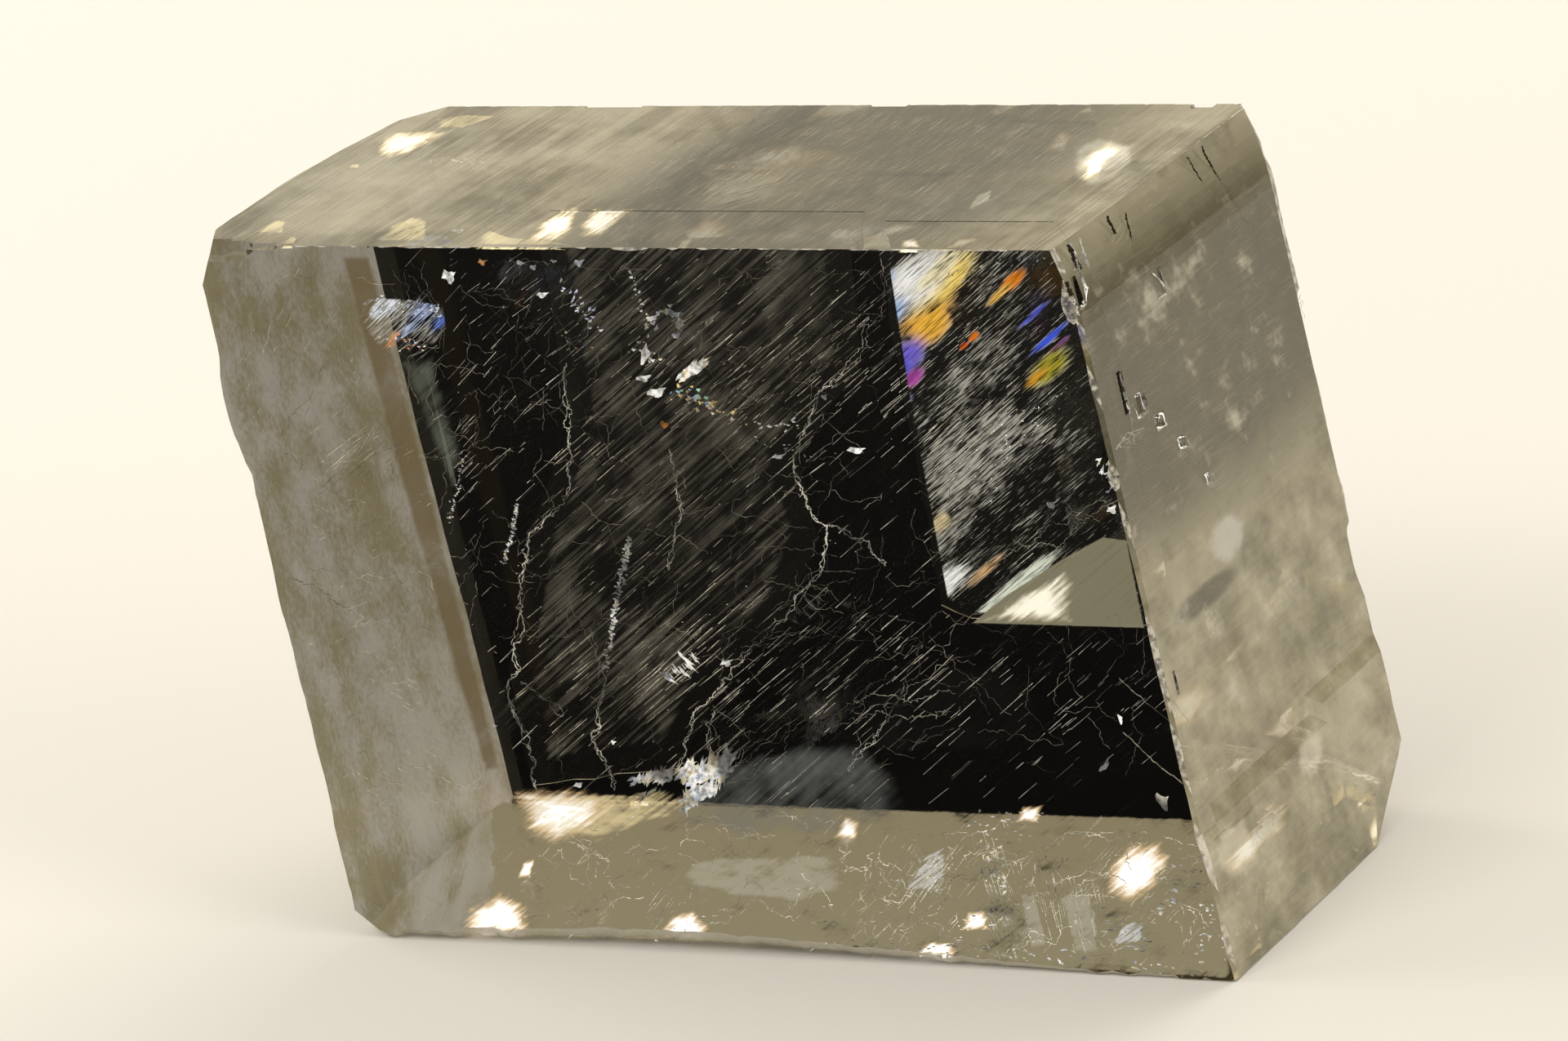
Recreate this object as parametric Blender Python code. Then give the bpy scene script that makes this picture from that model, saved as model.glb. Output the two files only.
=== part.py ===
"""Calcite cleavage block, a museum-size piece of clear spar.

Lengths are in metres and +Z is up.  The block stands on its lower cleavage
face, with the origin on that face under the middle of its bounding box.

Calcite splits along three sets of planes, so the block is a rhombohedron.  All
of its faces, pits and ledges run along the same three edge directions, which
start at the blunt corner, where three obtuse angles meet:

a runs to the left along the front edge of the top,
b runs down along the right edge of the front,
c runs back along the right edge of the top.

A place on the block is given as its distances (a, b, c) from the blunt corner.
The block is first made with flat faces, and then each break, pit, ledge, worn
edge and open split is cut out of it by a solid of its own.
"""

import math
from typing import NamedTuple

import bmesh
import bpy
from mathutils import Vector, noise

MM = 0.001

# Driving dimensions
FACE_ANGLE = math.radians(101.92)  # obtuse angle of a calcite cleavage face
LENGTH_A = 114.0 * MM
LENGTH_B = 90.7 * MM
LENGTH_C = 51.0 * MM

# Left end, a fracture that swells past the cleavage plane
LEFT_CROWN = 2.3 * MM  # swell in the middle of the end, from front to back
LEFT_BACK_STAND = 3.0 * MM  # how far the rear edge stands out below the top
LEFT_BACK_FALL = 1.1 * MM  # how much less it stands out at the foot
LEFT_FRONT_SWELL = 0.45 * MM  # swell along the front edge
LEFT_LEDGE_HEIGHT = 0.8 * MM  # a band of the end stands this much further out
LEFT_LEDGE_TOP = 13.0 * MM
LEFT_LEDGE_FOOT = 26.8 * MM
LEFT_LEDGE_RAG = 1.6 * MM  # how far its lower edge wanders
LEFT_BACK_ROLL = 3.4 * MM  # how far the end falls back at the rear corner of the top
LEFT_ROLL_DEPTH = 15.0 * MM  # the rear edge has come out again this far below the top
LEFT_GRAIN = 0.5 * MM  # height of the lumps on the fracture
LEFT_GRAIN_SIZE = 9.0 * MM
LEFT_STEP = 2.6 * MM  # spacing of the points that shape the fracture

# Right end, a flat cleavage face between a rolled ridge and a swollen foot below a ledge
RIGHT_OFFSET = 1.35 * MM  # the flat face stands this far past the blunt corner
RIDGE_ROLL = 10.0 * MM  # the face curves back over this height to meet the top
FOOT_START = 68.0 * MM
FOOT_LEDGE = 0.45 * MM
FOOT_SWELL = 0.3 * MM
FOOT_STEP = 2.4 * MM
FOOT_GRAIN = 0.22 * MM
RIGHT_FRONT_WEAR = 0.45 * MM  # wear of the edge between the right end and the front
RIGHT_BACK_WEAR = 1.3 * MM  # wear of the edge between the right end and the back
RIGHT_ROW = 3.6 * MM  # spacing of the points along the two worn edges

# Worn long edges
WEAR_STEP = 4.0 * MM
WEAR_LEAST = 0.12 * MM
FOOT_EDGE_LOSS = 2.6 * MM  # most of the front that has broken away along the foot's edge
FOOT_EDGE_MIDDLE = 70.0 * MM  # where along a it has lost most
FOOT_EDGE_SPREAD = 38.0 * MM
FOOT_EDGE_UNDERCUT = 1.15  # the foot has lost this many times as much as the front
TOP_FRONT_WEAR = 0.25 * MM
TOP_BACK_WEAR = 0.15 * MM
FOOT_FRONT_WEAR = 0.7 * MM
FOOT_BACK_WEAR = 0.15 * MM

# Cutters reach this far past the block, and no row of their points lies in one of its faces
REACH = 6.0 * MM
OVERHANG = 0.07 * MM

GLASSY_BEIGE = (0.62, 0.58, 0.44, 1.0)
SURFACE_ROUGHNESS = 0.12
SPAR_IOR = 1.6

ALONG_A = Vector((-1.0, 0.0, 0.0))
ALONG_C = Vector((-math.cos(FACE_ANGLE), math.sin(FACE_ANGLE), 0.0))


def downward_edge(angle):
    """Return the unit vector that points down and makes the given angle with a and with c."""
    x = -math.cos(angle)
    y = (math.cos(angle) - x * ALONG_C.x) / ALONG_C.y
    return Vector((x, y, -math.sqrt(1.0 - x * x - y * y)))


ALONG_B = downward_edge(FACE_ANGLE)
NORMALS = {
    "front": ALONG_A.cross(ALONG_B).normalized(),
    "back": ALONG_B.cross(ALONG_A).normalized(),
    "top": Vector((0.0, 0.0, 1.0)),
    "bottom": Vector((0.0, 0.0, -1.0)),
}


class Pit(NamedTuple):
    """A rhombic hole in the right end, in millimetres from the blunt corner."""

    down: float
    rear: float
    tall: float
    wide: float
    deep: float


class Bite(NamedTuple):
    """A small step out of an edge of the top, in millimetres."""

    start: float
    long: float
    fall: float
    deep: float


class Break(NamedTuple):
    """A corner that has broken off, and how far along each edge, in millimetres."""

    name: str
    at_left: bool
    at_foot: bool
    at_back: bool
    along_a: float
    along_b: float
    along_c: float


class Chip(NamedTuple):
    """A shell-like chip out of an upright edge.

    The pebble that leaves it has its middle beside the edge, down millimetres below the top.
    """

    name: str
    at_left: bool
    at_back: bool
    down: float
    beside: tuple[float, float, float]
    radii: tuple[float, float, float]


class Layer(NamedTuple):
    """A broad shallow layer that has split away: its low corner and its size, in metres."""

    name: str
    corner: tuple[float, float, float]
    size: tuple[float, float, float]


class Split(NamedTuple):
    """A cleavage plane along the front that has opened inside the crystal, in millimetres.

    It lies depth behind the front face, measured along c.  Its rim is a ring of (a, b), which
    leaves the block through the top, where the split comes out as a hairline.
    """

    name: str
    depth: float
    rim: tuple[tuple[float, float], ...]


# The chain of pits that runs down the right end from the blunt corner
RIGHT_PITS = (
    Pit(down=0.7, rear=2.5, tall=2.8, wide=1.8, deep=1.2),
    Pit(down=3.9, rear=1.2, tall=3.9, wide=1.2, deep=0.9),
    Pit(down=17.2, rear=5.4, tall=5.4, wide=1.3, deep=1.0),
    Pit(down=21.1, rear=7.8, tall=2.9, wide=2.8, deep=0.8),
    Pit(down=25.0, rear=11.5, tall=1.9, wide=2.2, deep=0.9),
    Pit(down=29.3, rear=15.2, tall=1.6, wide=1.7, deep=0.7),
    Pit(down=35.3, rear=19.2, tall=1.6, wide=1.6, deep=0.7),
    Pit(down=9.4, rear=18.2, tall=3.6, wide=2.0, deep=0.35),
    Pit(down=53.3, rear=2.7, tall=3.0, wide=0.6, deep=0.8),
)

# Steps crushed into the upper left corner of the front
CORNER_STEPS = (
    Bite(start=103.5, long=4.0, fall=0.5, deep=0.9),
    Bite(start=107.5, long=3.4, fall=1.3, deep=1.7),
    Bite(start=110.6, long=9.0, fall=2.1, deep=2.3),
)

# Shallow bites in the rear edge of the top
REAR_BITES = (
    Bite(start=4.4, long=3.0, fall=0.45, deep=1.7),
    Bite(start=46.0, long=5.0, fall=0.2, deep=0.6),
    Bite(start=83.0, long=8.0, fall=0.2, deep=0.8),
)

BREAKS = (
    Break("upper_right_corner", False, False, True, 1.9, 3.0, 1.3),
    Break("lower_right_corner", False, True, True, 12.5, 10.0, 12.5),
    Break("upper_left_corner", True, False, True, 3.4, 6.0, 4.6),
    Break("crushed_corner", True, False, False, 2.2, 4.4, 4.0),
    Break("lower_left_corner", True, True, False, 3.6, 3.2, 3.5),
)

CHIPS = (
    Chip("right_back_bite", False, True, 59.6, (1.7, 1.5, -0.4), (5.0, 5.2, 10.5)),
    Chip("front_edge_chip", False, False, 27.1, (0.9, -0.9, 0.0), (1.9, 1.9, 2.8)),
    Chip("blunt_corner_chip", False, False, 4.0, (0.5, -1.7, 0.0), (2.2, 2.3, 5.0)),
)

# Layers reach past the block by this much on their open sides
LAYER_MARGIN = 12.0 * MM

LAYERS = (
    Layer(
        "back_layer",
        (-LAYER_MARGIN, 24.0 * MM, LENGTH_C - 0.9 * MM),
        (LAYER_MARGIN + 15.0 * MM, LENGTH_B, LAYER_MARGIN),
    ),
    Layer(
        "back_corner_layer",
        (-LAYER_MARGIN - 1.0 * MM, 61.0 * MM, LENGTH_C - 2.0 * MM),
        (LAYER_MARGIN + 9.5 * MM, LENGTH_B, LAYER_MARGIN),
    ),
)

# How far a split gapes, and how its rim wanders between its points
SPLIT_GAP = 0.2 * MM
SPLIT_STEP = 3.0 * MM
SPLIT_RAG = 0.5 * MM

SPLITS = (
    Split(
        "right_split",
        9.5,
        (
            (4.8, -2.0),
            (26.4, -2.0),
            (28.2, 23.0),
            (29.4, 48.0),
            (25.8, 49.8),
            (2.6, 49.9),
            (2.2, 38.6),
            (3.8, 28.9),
            (1.9, 19.7),
        ),
    ),
    Split(
        "tongue_split",
        12.7,
        (
            (30.8, -2.0),
            (33.8, 18.1),
            (45.6, 30.9),
            (45.0, 41.0),
            (52.2, 51.7),
            (63.4, 60.7),
            (71.5, 71.4),
            (92.3, 74.5),
            (92.1, 60.3),
            (84.7, 41.5),
            (75.3, 27.0),
            (73.0, -2.0),
        ),
    ),
)


def at(a, b, c):
    """Return the place that lies a, b and c from the blunt corner."""
    return ALONG_A * a + ALONG_B * b + ALONG_C * c


def lumps(place, size, seed):
    """Return smooth noise from about -1 to 1 with lumps of the given size."""
    shifted = place / size + Vector((seed * 7.31, seed * 3.17, seed * 5.53))
    return max(-1.0, min(1.0, noise.fractal(shifted, 0.9, 2.1, 3)))


def hump(value, middle, half_width):
    """Return a smooth hump that is 1 at its middle."""
    return math.exp(-(((value - middle) / half_width) ** 2))


def smooth_step(value, start, end):
    """Return 0 before start, 1 after end and a smooth rise between them."""
    t = min(1.0, max(0.0, (value - start) / (end - start)))
    return t * t * (3.0 - 2.0 * t)


def spaced(start, end, step):
    """Return evenly spaced numbers from start to end, at most step apart."""
    count = max(1, math.ceil(abs(end - start) / step))
    return [start + (end - start) * i / count for i in range(count + 1)]


def left_relief(b, c):
    """Return how far the left end stands past its cleavage plane."""
    across = min(1.0, max(0.0, c / LENGTH_C))
    roll = LEFT_BACK_ROLL * smooth_step(across, 0.88, 1.12)
    top_crown = LEFT_CROWN * math.sin(math.pi * across) ** 0.7 - roll
    rear_stand = LEFT_BACK_STAND - LEFT_BACK_FALL * smooth_step(b, LENGTH_B / 3.0, LENGTH_B)
    rear_rise = (rear_stand - LEFT_CROWN) * smooth_step(across, 0.5, 1.0)
    low_crown = LEFT_CROWN * math.sin(math.pi * min(across, 0.5)) ** 0.7 + rear_rise
    low_share = smooth_step(b, LEFT_ROLL_DEPTH / 5.0, LEFT_ROLL_DEPTH)
    crown = top_crown + (low_crown - top_crown) * low_share
    front = LEFT_FRONT_SWELL * (1.0 - across) * smooth_step(b, -6.0 * MM, 10.0 * MM)
    ragged = b + LEFT_LEDGE_RAG * lumps(at(0.0, b, c), 14.0 * MM, 2)
    upper = smooth_step(b, LEFT_LEDGE_TOP, LEFT_LEDGE_TOP + 5.0 * MM)
    lower = smooth_step(ragged, LEFT_LEDGE_FOOT, LEFT_LEDGE_FOOT + 2.4 * MM)
    ledge = LEFT_LEDGE_HEIGHT * upper * (1.0 - lower) * (1.0 - across)
    grain = LEFT_GRAIN * (1.0 - 0.6 * across) * lumps(at(0.0, b, c), LEFT_GRAIN_SIZE, 1)
    return crown + front + ledge + grain


def right_relief(b, c):
    """Return how far the right end stands past the blunt corner's cleavage plane."""
    across = min(1.0, max(0.0, c / LENGTH_C))
    below_ridge = min(1.0, b / RIDGE_ROLL)
    face = RIGHT_OFFSET * (1.0 - (1.0 - below_ridge) ** 2)
    ledge_line = FOOT_START + 4.5 * MM * (1.0 - across)
    below = smooth_step(b, ledge_line, ledge_line + 1.2 * MM)
    bulge = math.sin(math.pi * (0.14 + 0.8 * across))
    swell = FOOT_SWELL * smooth_step(b, ledge_line, LENGTH_B + 1.0 * MM) * bulge
    grain = FOOT_GRAIN * lumps(at(0.0, b, c), 7.0 * MM, 5)
    front_edge = 1.0 - smooth_step(c, 0.0, 0.9 * MM)
    back_edge = smooth_step(c, LENGTH_C - 1.7 * MM, LENGTH_C)
    chipping = 0.35 + 0.9 * abs(lumps(at(0.0, b, c), 8.0 * MM, 6))
    wear = chipping * (RIGHT_FRONT_WEAR * front_edge + RIGHT_BACK_WEAR * back_edge)
    return face + below * (FOOT_LEDGE + swell + grain) - wear


def link(name, mesh):
    """Put a mesh in the scene as an object of that name."""
    thing = bpy.data.objects.new(name, mesh)
    bpy.context.scene.collection.objects.link(thing)
    return thing


def closed_object(name, points, faces):
    """Return an object made of the points and faces, closed and facing outwards."""
    work = bmesh.new()
    corners = [work.verts.new(point) for point in points]
    for face in faces:
        work.faces.new([corners[index] for index in face])
    bmesh.ops.triangulate(work, faces=[face for face in work.faces if len(face.verts) == 4])
    bmesh.ops.recalc_face_normals(work, faces=work.faces)
    mesh = bpy.data.meshes.new(name)
    work.to_mesh(mesh)
    work.free()
    return link(name, mesh)


def block(name, corner, size):
    """Return a rhombohedron with its low corner at (a, b, c) and its sides along the edges."""
    points = []
    for step_a in (0.0, size[0]):
        for step_b in (0.0, size[1]):
            for step_c in (0.0, size[2]):
                points.append(at(corner[0] + step_a, corner[1] + step_b, corner[2] + step_c))
    faces = [(0, 1, 3, 2), (4, 6, 7, 5), (0, 4, 5, 1), (2, 3, 7, 6), (0, 2, 6, 4), (1, 5, 7, 3)]
    return closed_object(name, points, faces)


def end_cutter(name, side, b_lines, c_lines, relief):
    """Return the solid beyond a rough end: side is 1 for the left end and -1 for the right."""
    base = LENGTH_A if side > 0 else 0.0
    outer = base + side * 2.0 * REACH
    near = [at(base + side * relief(b, c), b, c) for b in b_lines for c in c_lines]
    far = [at(outer, b, c) for b in b_lines for c in c_lines]
    rows = len(b_lines)
    columns = len(c_lines)
    faces = []
    for row in range(rows - 1):
        for column in range(columns - 1):
            first = row * columns + column
            faces.append((first, first + 1, first + columns + 1, first + columns))
    rim = list(range(columns))
    rim += [row * columns + columns - 1 for row in range(1, rows)]
    rim += [(rows - 1) * columns + column for column in range(columns - 2, -1, -1)]
    rim += [row * columns for row in range(rows - 2, 0, -1)]
    rim_places = {index: len(near) + place for place, index in enumerate(rim)}
    for here, after in zip(rim, rim[1:] + rim[:1]):
        faces.append((here, after, rim_places[after], rim_places[here]))
    faces.append(tuple(rim_places[index] for index in rim))
    return closed_object(name, near + [far[index] for index in rim], faces)


def edge_cutter(name, start, end, sides, wear, seed, loss=None):
    """Return a ragged bar that wears the edge from start to end, between two named faces.

    loss gives what the first face has lost beside its wear, at a distance along the edge.
    """
    edge = end - start
    direction = edge.normalized()
    normal_1 = NORMALS[sides[0]]
    normal_2 = NORMALS[sides[1]]
    inward_1 = direction.cross(normal_1)
    if inward_1.dot(normal_2) > 0.0:
        inward_1 = -inward_1
    inward_2 = direction.cross(normal_2)
    if inward_2.dot(normal_1) > 0.0:
        inward_2 = -inward_2
    outward = (normal_1 + normal_2).normalized()
    points = []
    for distance in spaced(-REACH, edge.length + REACH, WEAR_STEP):
        place = start + direction * distance
        lost = loss(distance) if loss else 0.0
        depth_1 = WEAR_LEAST + lost + wear * abs(lumps(place, 11.0 * MM, seed)) ** 1.5
        depth_2 = WEAR_LEAST + wear * abs(lumps(place, 9.0 * MM, seed + 20)) ** 1.5
        on_1 = place + inward_1 * depth_1
        on_2 = place + inward_2 * (depth_2 + FOOT_EDGE_UNDERCUT * lost)
        slope = (on_1 - on_2).normalized() * REACH
        points += [on_1 + slope, on_2 - slope, place + outward * REACH]
    last = len(points) - 1
    faces = [(0, 1, 2), (last, last - 1, last - 2)]
    for first in range(0, last - 2, 3):
        for corner in range(3):
            other = (corner + 1) % 3
            faces.append((first + corner, first + other, first + 3 + other, first + 3 + corner))
    return closed_object(name, points, faces)


def scoop(name, place, radii, seed):
    """Return a lumpy pebble shape, which leaves a shell-like chip where it cuts."""
    work = bmesh.new()
    bmesh.ops.create_icosphere(work, subdivisions=2, radius=1.0)
    for vert in work.verts:
        rough = 1.0 + 0.12 * lumps(vert.co, 0.8, seed)
        vert.co = place + Vector(vert.co[i] * radii[i] for i in range(3)) * rough * MM
    mesh = bpy.data.meshes.new(name)
    work.to_mesh(mesh)
    work.free()
    return link(name, mesh)


def corner_cutter(name, corner, cuts):
    """Return a solid that takes off a corner along the plane through three places near it."""
    middle = (cuts[0] + cuts[1] + cuts[2]) / 3.0
    spread = [middle + (cut - middle) * 3.0 for cut in cuts]
    tip = corner + (corner - middle).normalized() * 3.0 * REACH
    return closed_object(name, spread + [tip], [(0, 1, 2), (0, 1, 3), (1, 2, 3), (2, 0, 3)])


def end_cutters():
    """Return the two solids that shape the ends of the block."""
    left = end_cutter(
        "left_fracture_cutter",
        1,
        spaced(-REACH, LENGTH_B + REACH, LEFT_STEP),
        spaced(-REACH, LENGTH_C + REACH, LEFT_STEP),
        left_relief,
    )
    ridge_rows = spaced(-2.1 * MM, RIDGE_ROLL, 2.0 * MM)
    face_rows = spaced(RIDGE_ROLL, FOOT_START, RIGHT_ROW)[1:]
    foot_rows = spaced(FOOT_START, LENGTH_B + REACH, FOOT_STEP)[1:]
    middle_lines = spaced(0.9 * MM, LENGTH_C - 1.7 * MM, FOOT_STEP * 1.4)
    right = end_cutter(
        "right_foot_cutter",
        -1,
        ridge_rows + face_rows + foot_rows,
        [-REACH, -OVERHANG] + middle_lines + [LENGTH_C + OVERHANG, LENGTH_C + REACH],
        right_relief,
    )
    return [left, right]


def foot_edge_loss(distance):
    """Return how much of the foot's front edge has broken away at a distance along it."""
    return FOOT_EDGE_LOSS * hump(distance, FOOT_EDGE_MIDDLE, FOOT_EDGE_SPREAD)


def edge_cutters():
    """Return the bars that wear the four long edges."""
    far = LENGTH_A
    low = LENGTH_B
    back = LENGTH_C
    front_top = edge_cutter(
        "front_top_wear", at(0, 0, 0), at(far, 0, 0), ("front", "top"), TOP_FRONT_WEAR, 3
    )
    front_foot = edge_cutter(
        "front_foot_wear",
        at(0, low, 0),
        at(far, low, 0),
        ("front", "bottom"),
        FOOT_FRONT_WEAR,
        4,
        foot_edge_loss,
    )
    back_top = edge_cutter(
        "back_top_wear", at(0, 0, back), at(far, 0, back), ("back", "top"), TOP_BACK_WEAR, 5
    )
    back_foot = edge_cutter(
        "back_foot_wear",
        at(0, low, back),
        at(far, low, back),
        ("back", "bottom"),
        FOOT_BACK_WEAR,
        6,
    )
    return [front_top, front_foot, back_top, back_foot]


def end_place(at_left):
    """Return where an end stands along a, at the front edge."""
    return LENGTH_A + LEFT_FRONT_SWELL if at_left else -RIGHT_OFFSET


def corner_cutters():
    """Return the solids that break the corners of the block."""
    shapes = []
    for broken in BREAKS:
        a = end_place(broken.at_left)
        b = LENGTH_B if broken.at_foot else 0.0
        c = LENGTH_C if broken.at_back else 0.0
        inner_a = a + broken.along_a * MM * (-1.0 if broken.at_left else 1.0)
        inner_b = b + broken.along_b * MM * (-1.0 if broken.at_foot else 1.0)
        inner_c = c + broken.along_c * MM * (-1.0 if broken.at_back else 1.0)
        cuts = (at(inner_a, b, c), at(a, inner_b, c), at(a, b, inner_c))
        shapes.append(corner_cutter(broken.name, at(a, b, c), cuts))
    return shapes


def pit_cutters():
    """Return the rhombic solids that leave the pits and the small steps."""
    out = 3.0 * MM
    shapes = []
    for index, pit in enumerate(RIGHT_PITS):
        corner = (-RIGHT_OFFSET - out, pit.down * MM, pit.rear * MM)
        size = (out + pit.deep * MM, pit.tall * MM, pit.wide * MM)
        shapes.append(block(f"right_pit_{index}", corner, size))
    for index, step in enumerate(CORNER_STEPS):
        corner = (step.start * MM, -out, -out)
        size = (step.long * MM, out + step.fall * MM, out + step.deep * MM)
        shapes.append(block(f"corner_step_{index}", corner, size))
    for index, bite in enumerate(REAR_BITES):
        corner = (bite.start * MM, -out, LENGTH_C - bite.deep * MM)
        size = (bite.long * MM, out + bite.fall * MM, out + bite.deep * MM)
        shapes.append(block(f"rear_bite_{index}", corner, size))
    return shapes


def layer_cutters():
    """Return the solids that take off the broad layers of the back."""
    return [block(layer.name, layer.corner, layer.size) for layer in LAYERS]


def chip_cutters():
    """Return the pebbles that leave the shell-like chips along the upright edges."""
    shapes = []
    for index, chip in enumerate(CHIPS):
        edge = at(end_place(chip.at_left), chip.down * MM, LENGTH_C if chip.at_back else 0.0)
        middle = edge + Vector(chip.beside) * MM
        shapes.append(scoop(chip.name, middle, chip.radii, 11 + index))
    return shapes


def ragged_rim(split, seed):
    """Return the places round a split's rim, with its sides ragged between its points."""
    ring = []
    for start, end in zip(split.rim, split.rim[1:] + split.rim[:1]):
        first = at(start[0] * MM, start[1] * MM, split.depth * MM)
        last = at(end[0] * MM, end[1] * MM, split.depth * MM)
        direction = (last - first).normalized()
        sideways = direction.cross(NORMALS["front"])
        for distance in spaced(0.0, (last - first).length, SPLIT_STEP)[:-1]:
            place = first + direction * distance
            wander = SPLIT_RAG * lumps(place, 5.0 * MM, seed)
            ring.append(place + sideways * wander)
    return ring


def split_cutters():
    """Return the thin plates that open the splits."""
    shapes = []
    for index, split in enumerate(SPLITS):
        ring = ragged_rim(split, 31 + index)
        half = ALONG_C * SPLIT_GAP / 2.0
        points = [place - half for place in ring] + [place + half for place in ring]
        count = len(ring)
        faces = [tuple(range(count)), tuple(range(2 * count - 1, count - 1, -1))]
        for here in range(count):
            after = (here + 1) % count
            faces.append((here, after, count + after, count + here))
        shapes.append(closed_object(split.name, points, faces))
    return shapes


def spar_material():
    """Return the material of clear spar with a beige cast."""
    material = bpy.data.materials.new("clear_spar")
    material.use_nodes = True
    shader = material.node_tree.nodes["Principled BSDF"]
    shader.inputs["Base Color"].default_value = GLASSY_BEIGE
    shader.inputs["Roughness"].default_value = SURFACE_ROUGHNESS
    shader.inputs["Metallic"].default_value = 0.0
    shader.inputs["Transmission Weight"].default_value = 0.85
    shader.inputs["IOR"].default_value = SPAR_IOR
    return material


def carve(body, cutters):
    """Cut each solid out of the body with its own Boolean modifier."""
    for cutter in cutters:
        cutter.hide_render = True
        cutter.display_type = "WIRE"
        cut = body.modifiers.new(cutter.name, "BOOLEAN")
        cut.operation = "DIFFERENCE"
        cut.solver = "EXACT"
        cut.object = cutter


def stand_on_origin(body, cutters):
    """Move the body and its cutters so that the finished foot is centred on the origin."""
    shaped = body.evaluated_get(bpy.context.evaluated_depsgraph_get())
    corners = [vert.co for vert in shaped.data.vertices]
    low = Vector(min(corner[i] for corner in corners) for i in range(3))
    high = Vector(max(corner[i] for corner in corners) for i in range(3))
    shift = Vector((-(low.x + high.x) / 2.0, -(low.y + high.y) / 2.0, -low.z))
    for thing in [body, *cutters]:
        thing.location = shift


def build_spar():
    """Build the block of spar and return it."""
    low_corner = (-REACH, 0.0, 0.0)
    body = block("calcite_rhomb", low_corner, (LENGTH_A + 2.0 * REACH, LENGTH_B, LENGTH_C))
    body.data.materials.append(spar_material())
    cutters = end_cutters() + layer_cutters() + edge_cutters()
    cutters += corner_cutters() + chip_cutters() + pit_cutters() + split_cutters()
    carve(body, cutters)
    stand_on_origin(body, cutters)
    return body


def clear_scene():
    """Remove whatever the scene holds."""
    for thing in list(bpy.data.objects):
        bpy.data.objects.remove(thing, do_unlink=True)


clear_scene()
build_spar()
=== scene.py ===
"""Looks of a museum-size block of clear calcite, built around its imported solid.

The block is one crystal.  Its visual mesh is a merged copy of the solid, with a finish
for each kind of surface.  What shines inside it, the threads and webs of cracks, the
flakes, the veils and the split cleavage planes, are thin pieces of their own that lie
within the block.

Places inside the block are read from the photograph.  A pixel is followed through the
camera to a face of the block, bent there as calcite bends light, and carried on to the
plane in which the flaw lies.
"""

import logging
import math
import random
from dataclasses import dataclass
from enum import Enum

import bpy
from mathutils import Matrix, Vector, noise


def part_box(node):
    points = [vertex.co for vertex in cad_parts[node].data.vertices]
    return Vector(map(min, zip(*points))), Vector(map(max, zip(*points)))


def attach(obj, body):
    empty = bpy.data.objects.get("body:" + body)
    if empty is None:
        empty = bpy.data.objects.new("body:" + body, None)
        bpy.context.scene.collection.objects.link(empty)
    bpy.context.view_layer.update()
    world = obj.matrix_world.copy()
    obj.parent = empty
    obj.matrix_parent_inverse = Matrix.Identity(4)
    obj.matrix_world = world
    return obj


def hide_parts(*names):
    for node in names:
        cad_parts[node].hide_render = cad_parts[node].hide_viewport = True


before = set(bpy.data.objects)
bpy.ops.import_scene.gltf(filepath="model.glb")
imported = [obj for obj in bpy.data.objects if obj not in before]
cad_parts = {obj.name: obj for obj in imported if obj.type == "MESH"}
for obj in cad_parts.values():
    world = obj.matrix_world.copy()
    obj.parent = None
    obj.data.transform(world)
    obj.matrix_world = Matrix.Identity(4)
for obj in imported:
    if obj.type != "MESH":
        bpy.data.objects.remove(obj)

LOG = logging.getLogger("calcite")

MM = 0.001
BODY = "root"
NODE = "calcite_rhomb"

# The photograph's frame in pixels, and the focal length that its perspective gives
PHOTO_WIDTH = 1920.0
PHOTO_HEIGHT = 1275.0
FOCAL_PIXELS = 7500.0
SENSOR_WIDTH = 36.0

# How the camera is turned, in degrees, and where it stands from the blunt corner
CAMERA_AZIMUTH = 23.30
CAMERA_ELEVATION = 22.87
CAMERA_ROLL = -8.17
CAMERA_FROM_CORNER = Vector((238.504, -645.529, 260.029)) * MM

# The blunt corner, from the middle of the top of the solid's box
CORNER_IN_BOX = Vector((42.589, -13.400, 0.0)) * MM

CLEAVAGE_ANGLE = math.radians(101.92)
CALCITE_IOR = 1.6

# The block's edges in millimetres, and how far its right end stands past the blunt corner
LENGTH_A = 114.0
LENGTH_B = 90.7
LENGTH_C = 51.0
RIGHT_OFFSET = 1.35

# The splits of the front lamellae run down by this much of b for each step along a
STRIA_LEAN = 0.72

Pixel = tuple[float, float]
Outline = tuple[Pixel, ...]


def linear(code: str) -> tuple[float, float, float, float]:
    """Turn an sRGB hex colour into linear red, green, blue and an alpha of one.

    Args:
        code: Six hex digits.

    Returns:
        The four linear values.
    """
    values = [int(code[i : i + 2], 16) / 255.0 for i in (0, 2, 4)]
    red, green, blue = (v / 12.92 if v <= 0.04045 else ((v + 0.055) / 1.055) ** 2.4 for v in values)
    return (red, green, blue, 1.0)


class Side(Enum):
    """A face of the block: the pair of parallel faces it belongs to, and which of the two."""

    FRONT = ("front", 1.0)
    BACK = ("front", -1.0)
    TOP = ("top", 1.0)
    BOTTOM = ("top", -1.0)
    RIGHT = ("right", 1.0)
    LEFT = ("right", -1.0)


@dataclass(frozen=True)
class Plane:
    """A plane inside the block.

    It is parallel to one face and so many millimetres inside it, and the photograph shows it
    through a face that may be another.
    """

    parallel: Side
    depth: float
    through: Side


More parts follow.
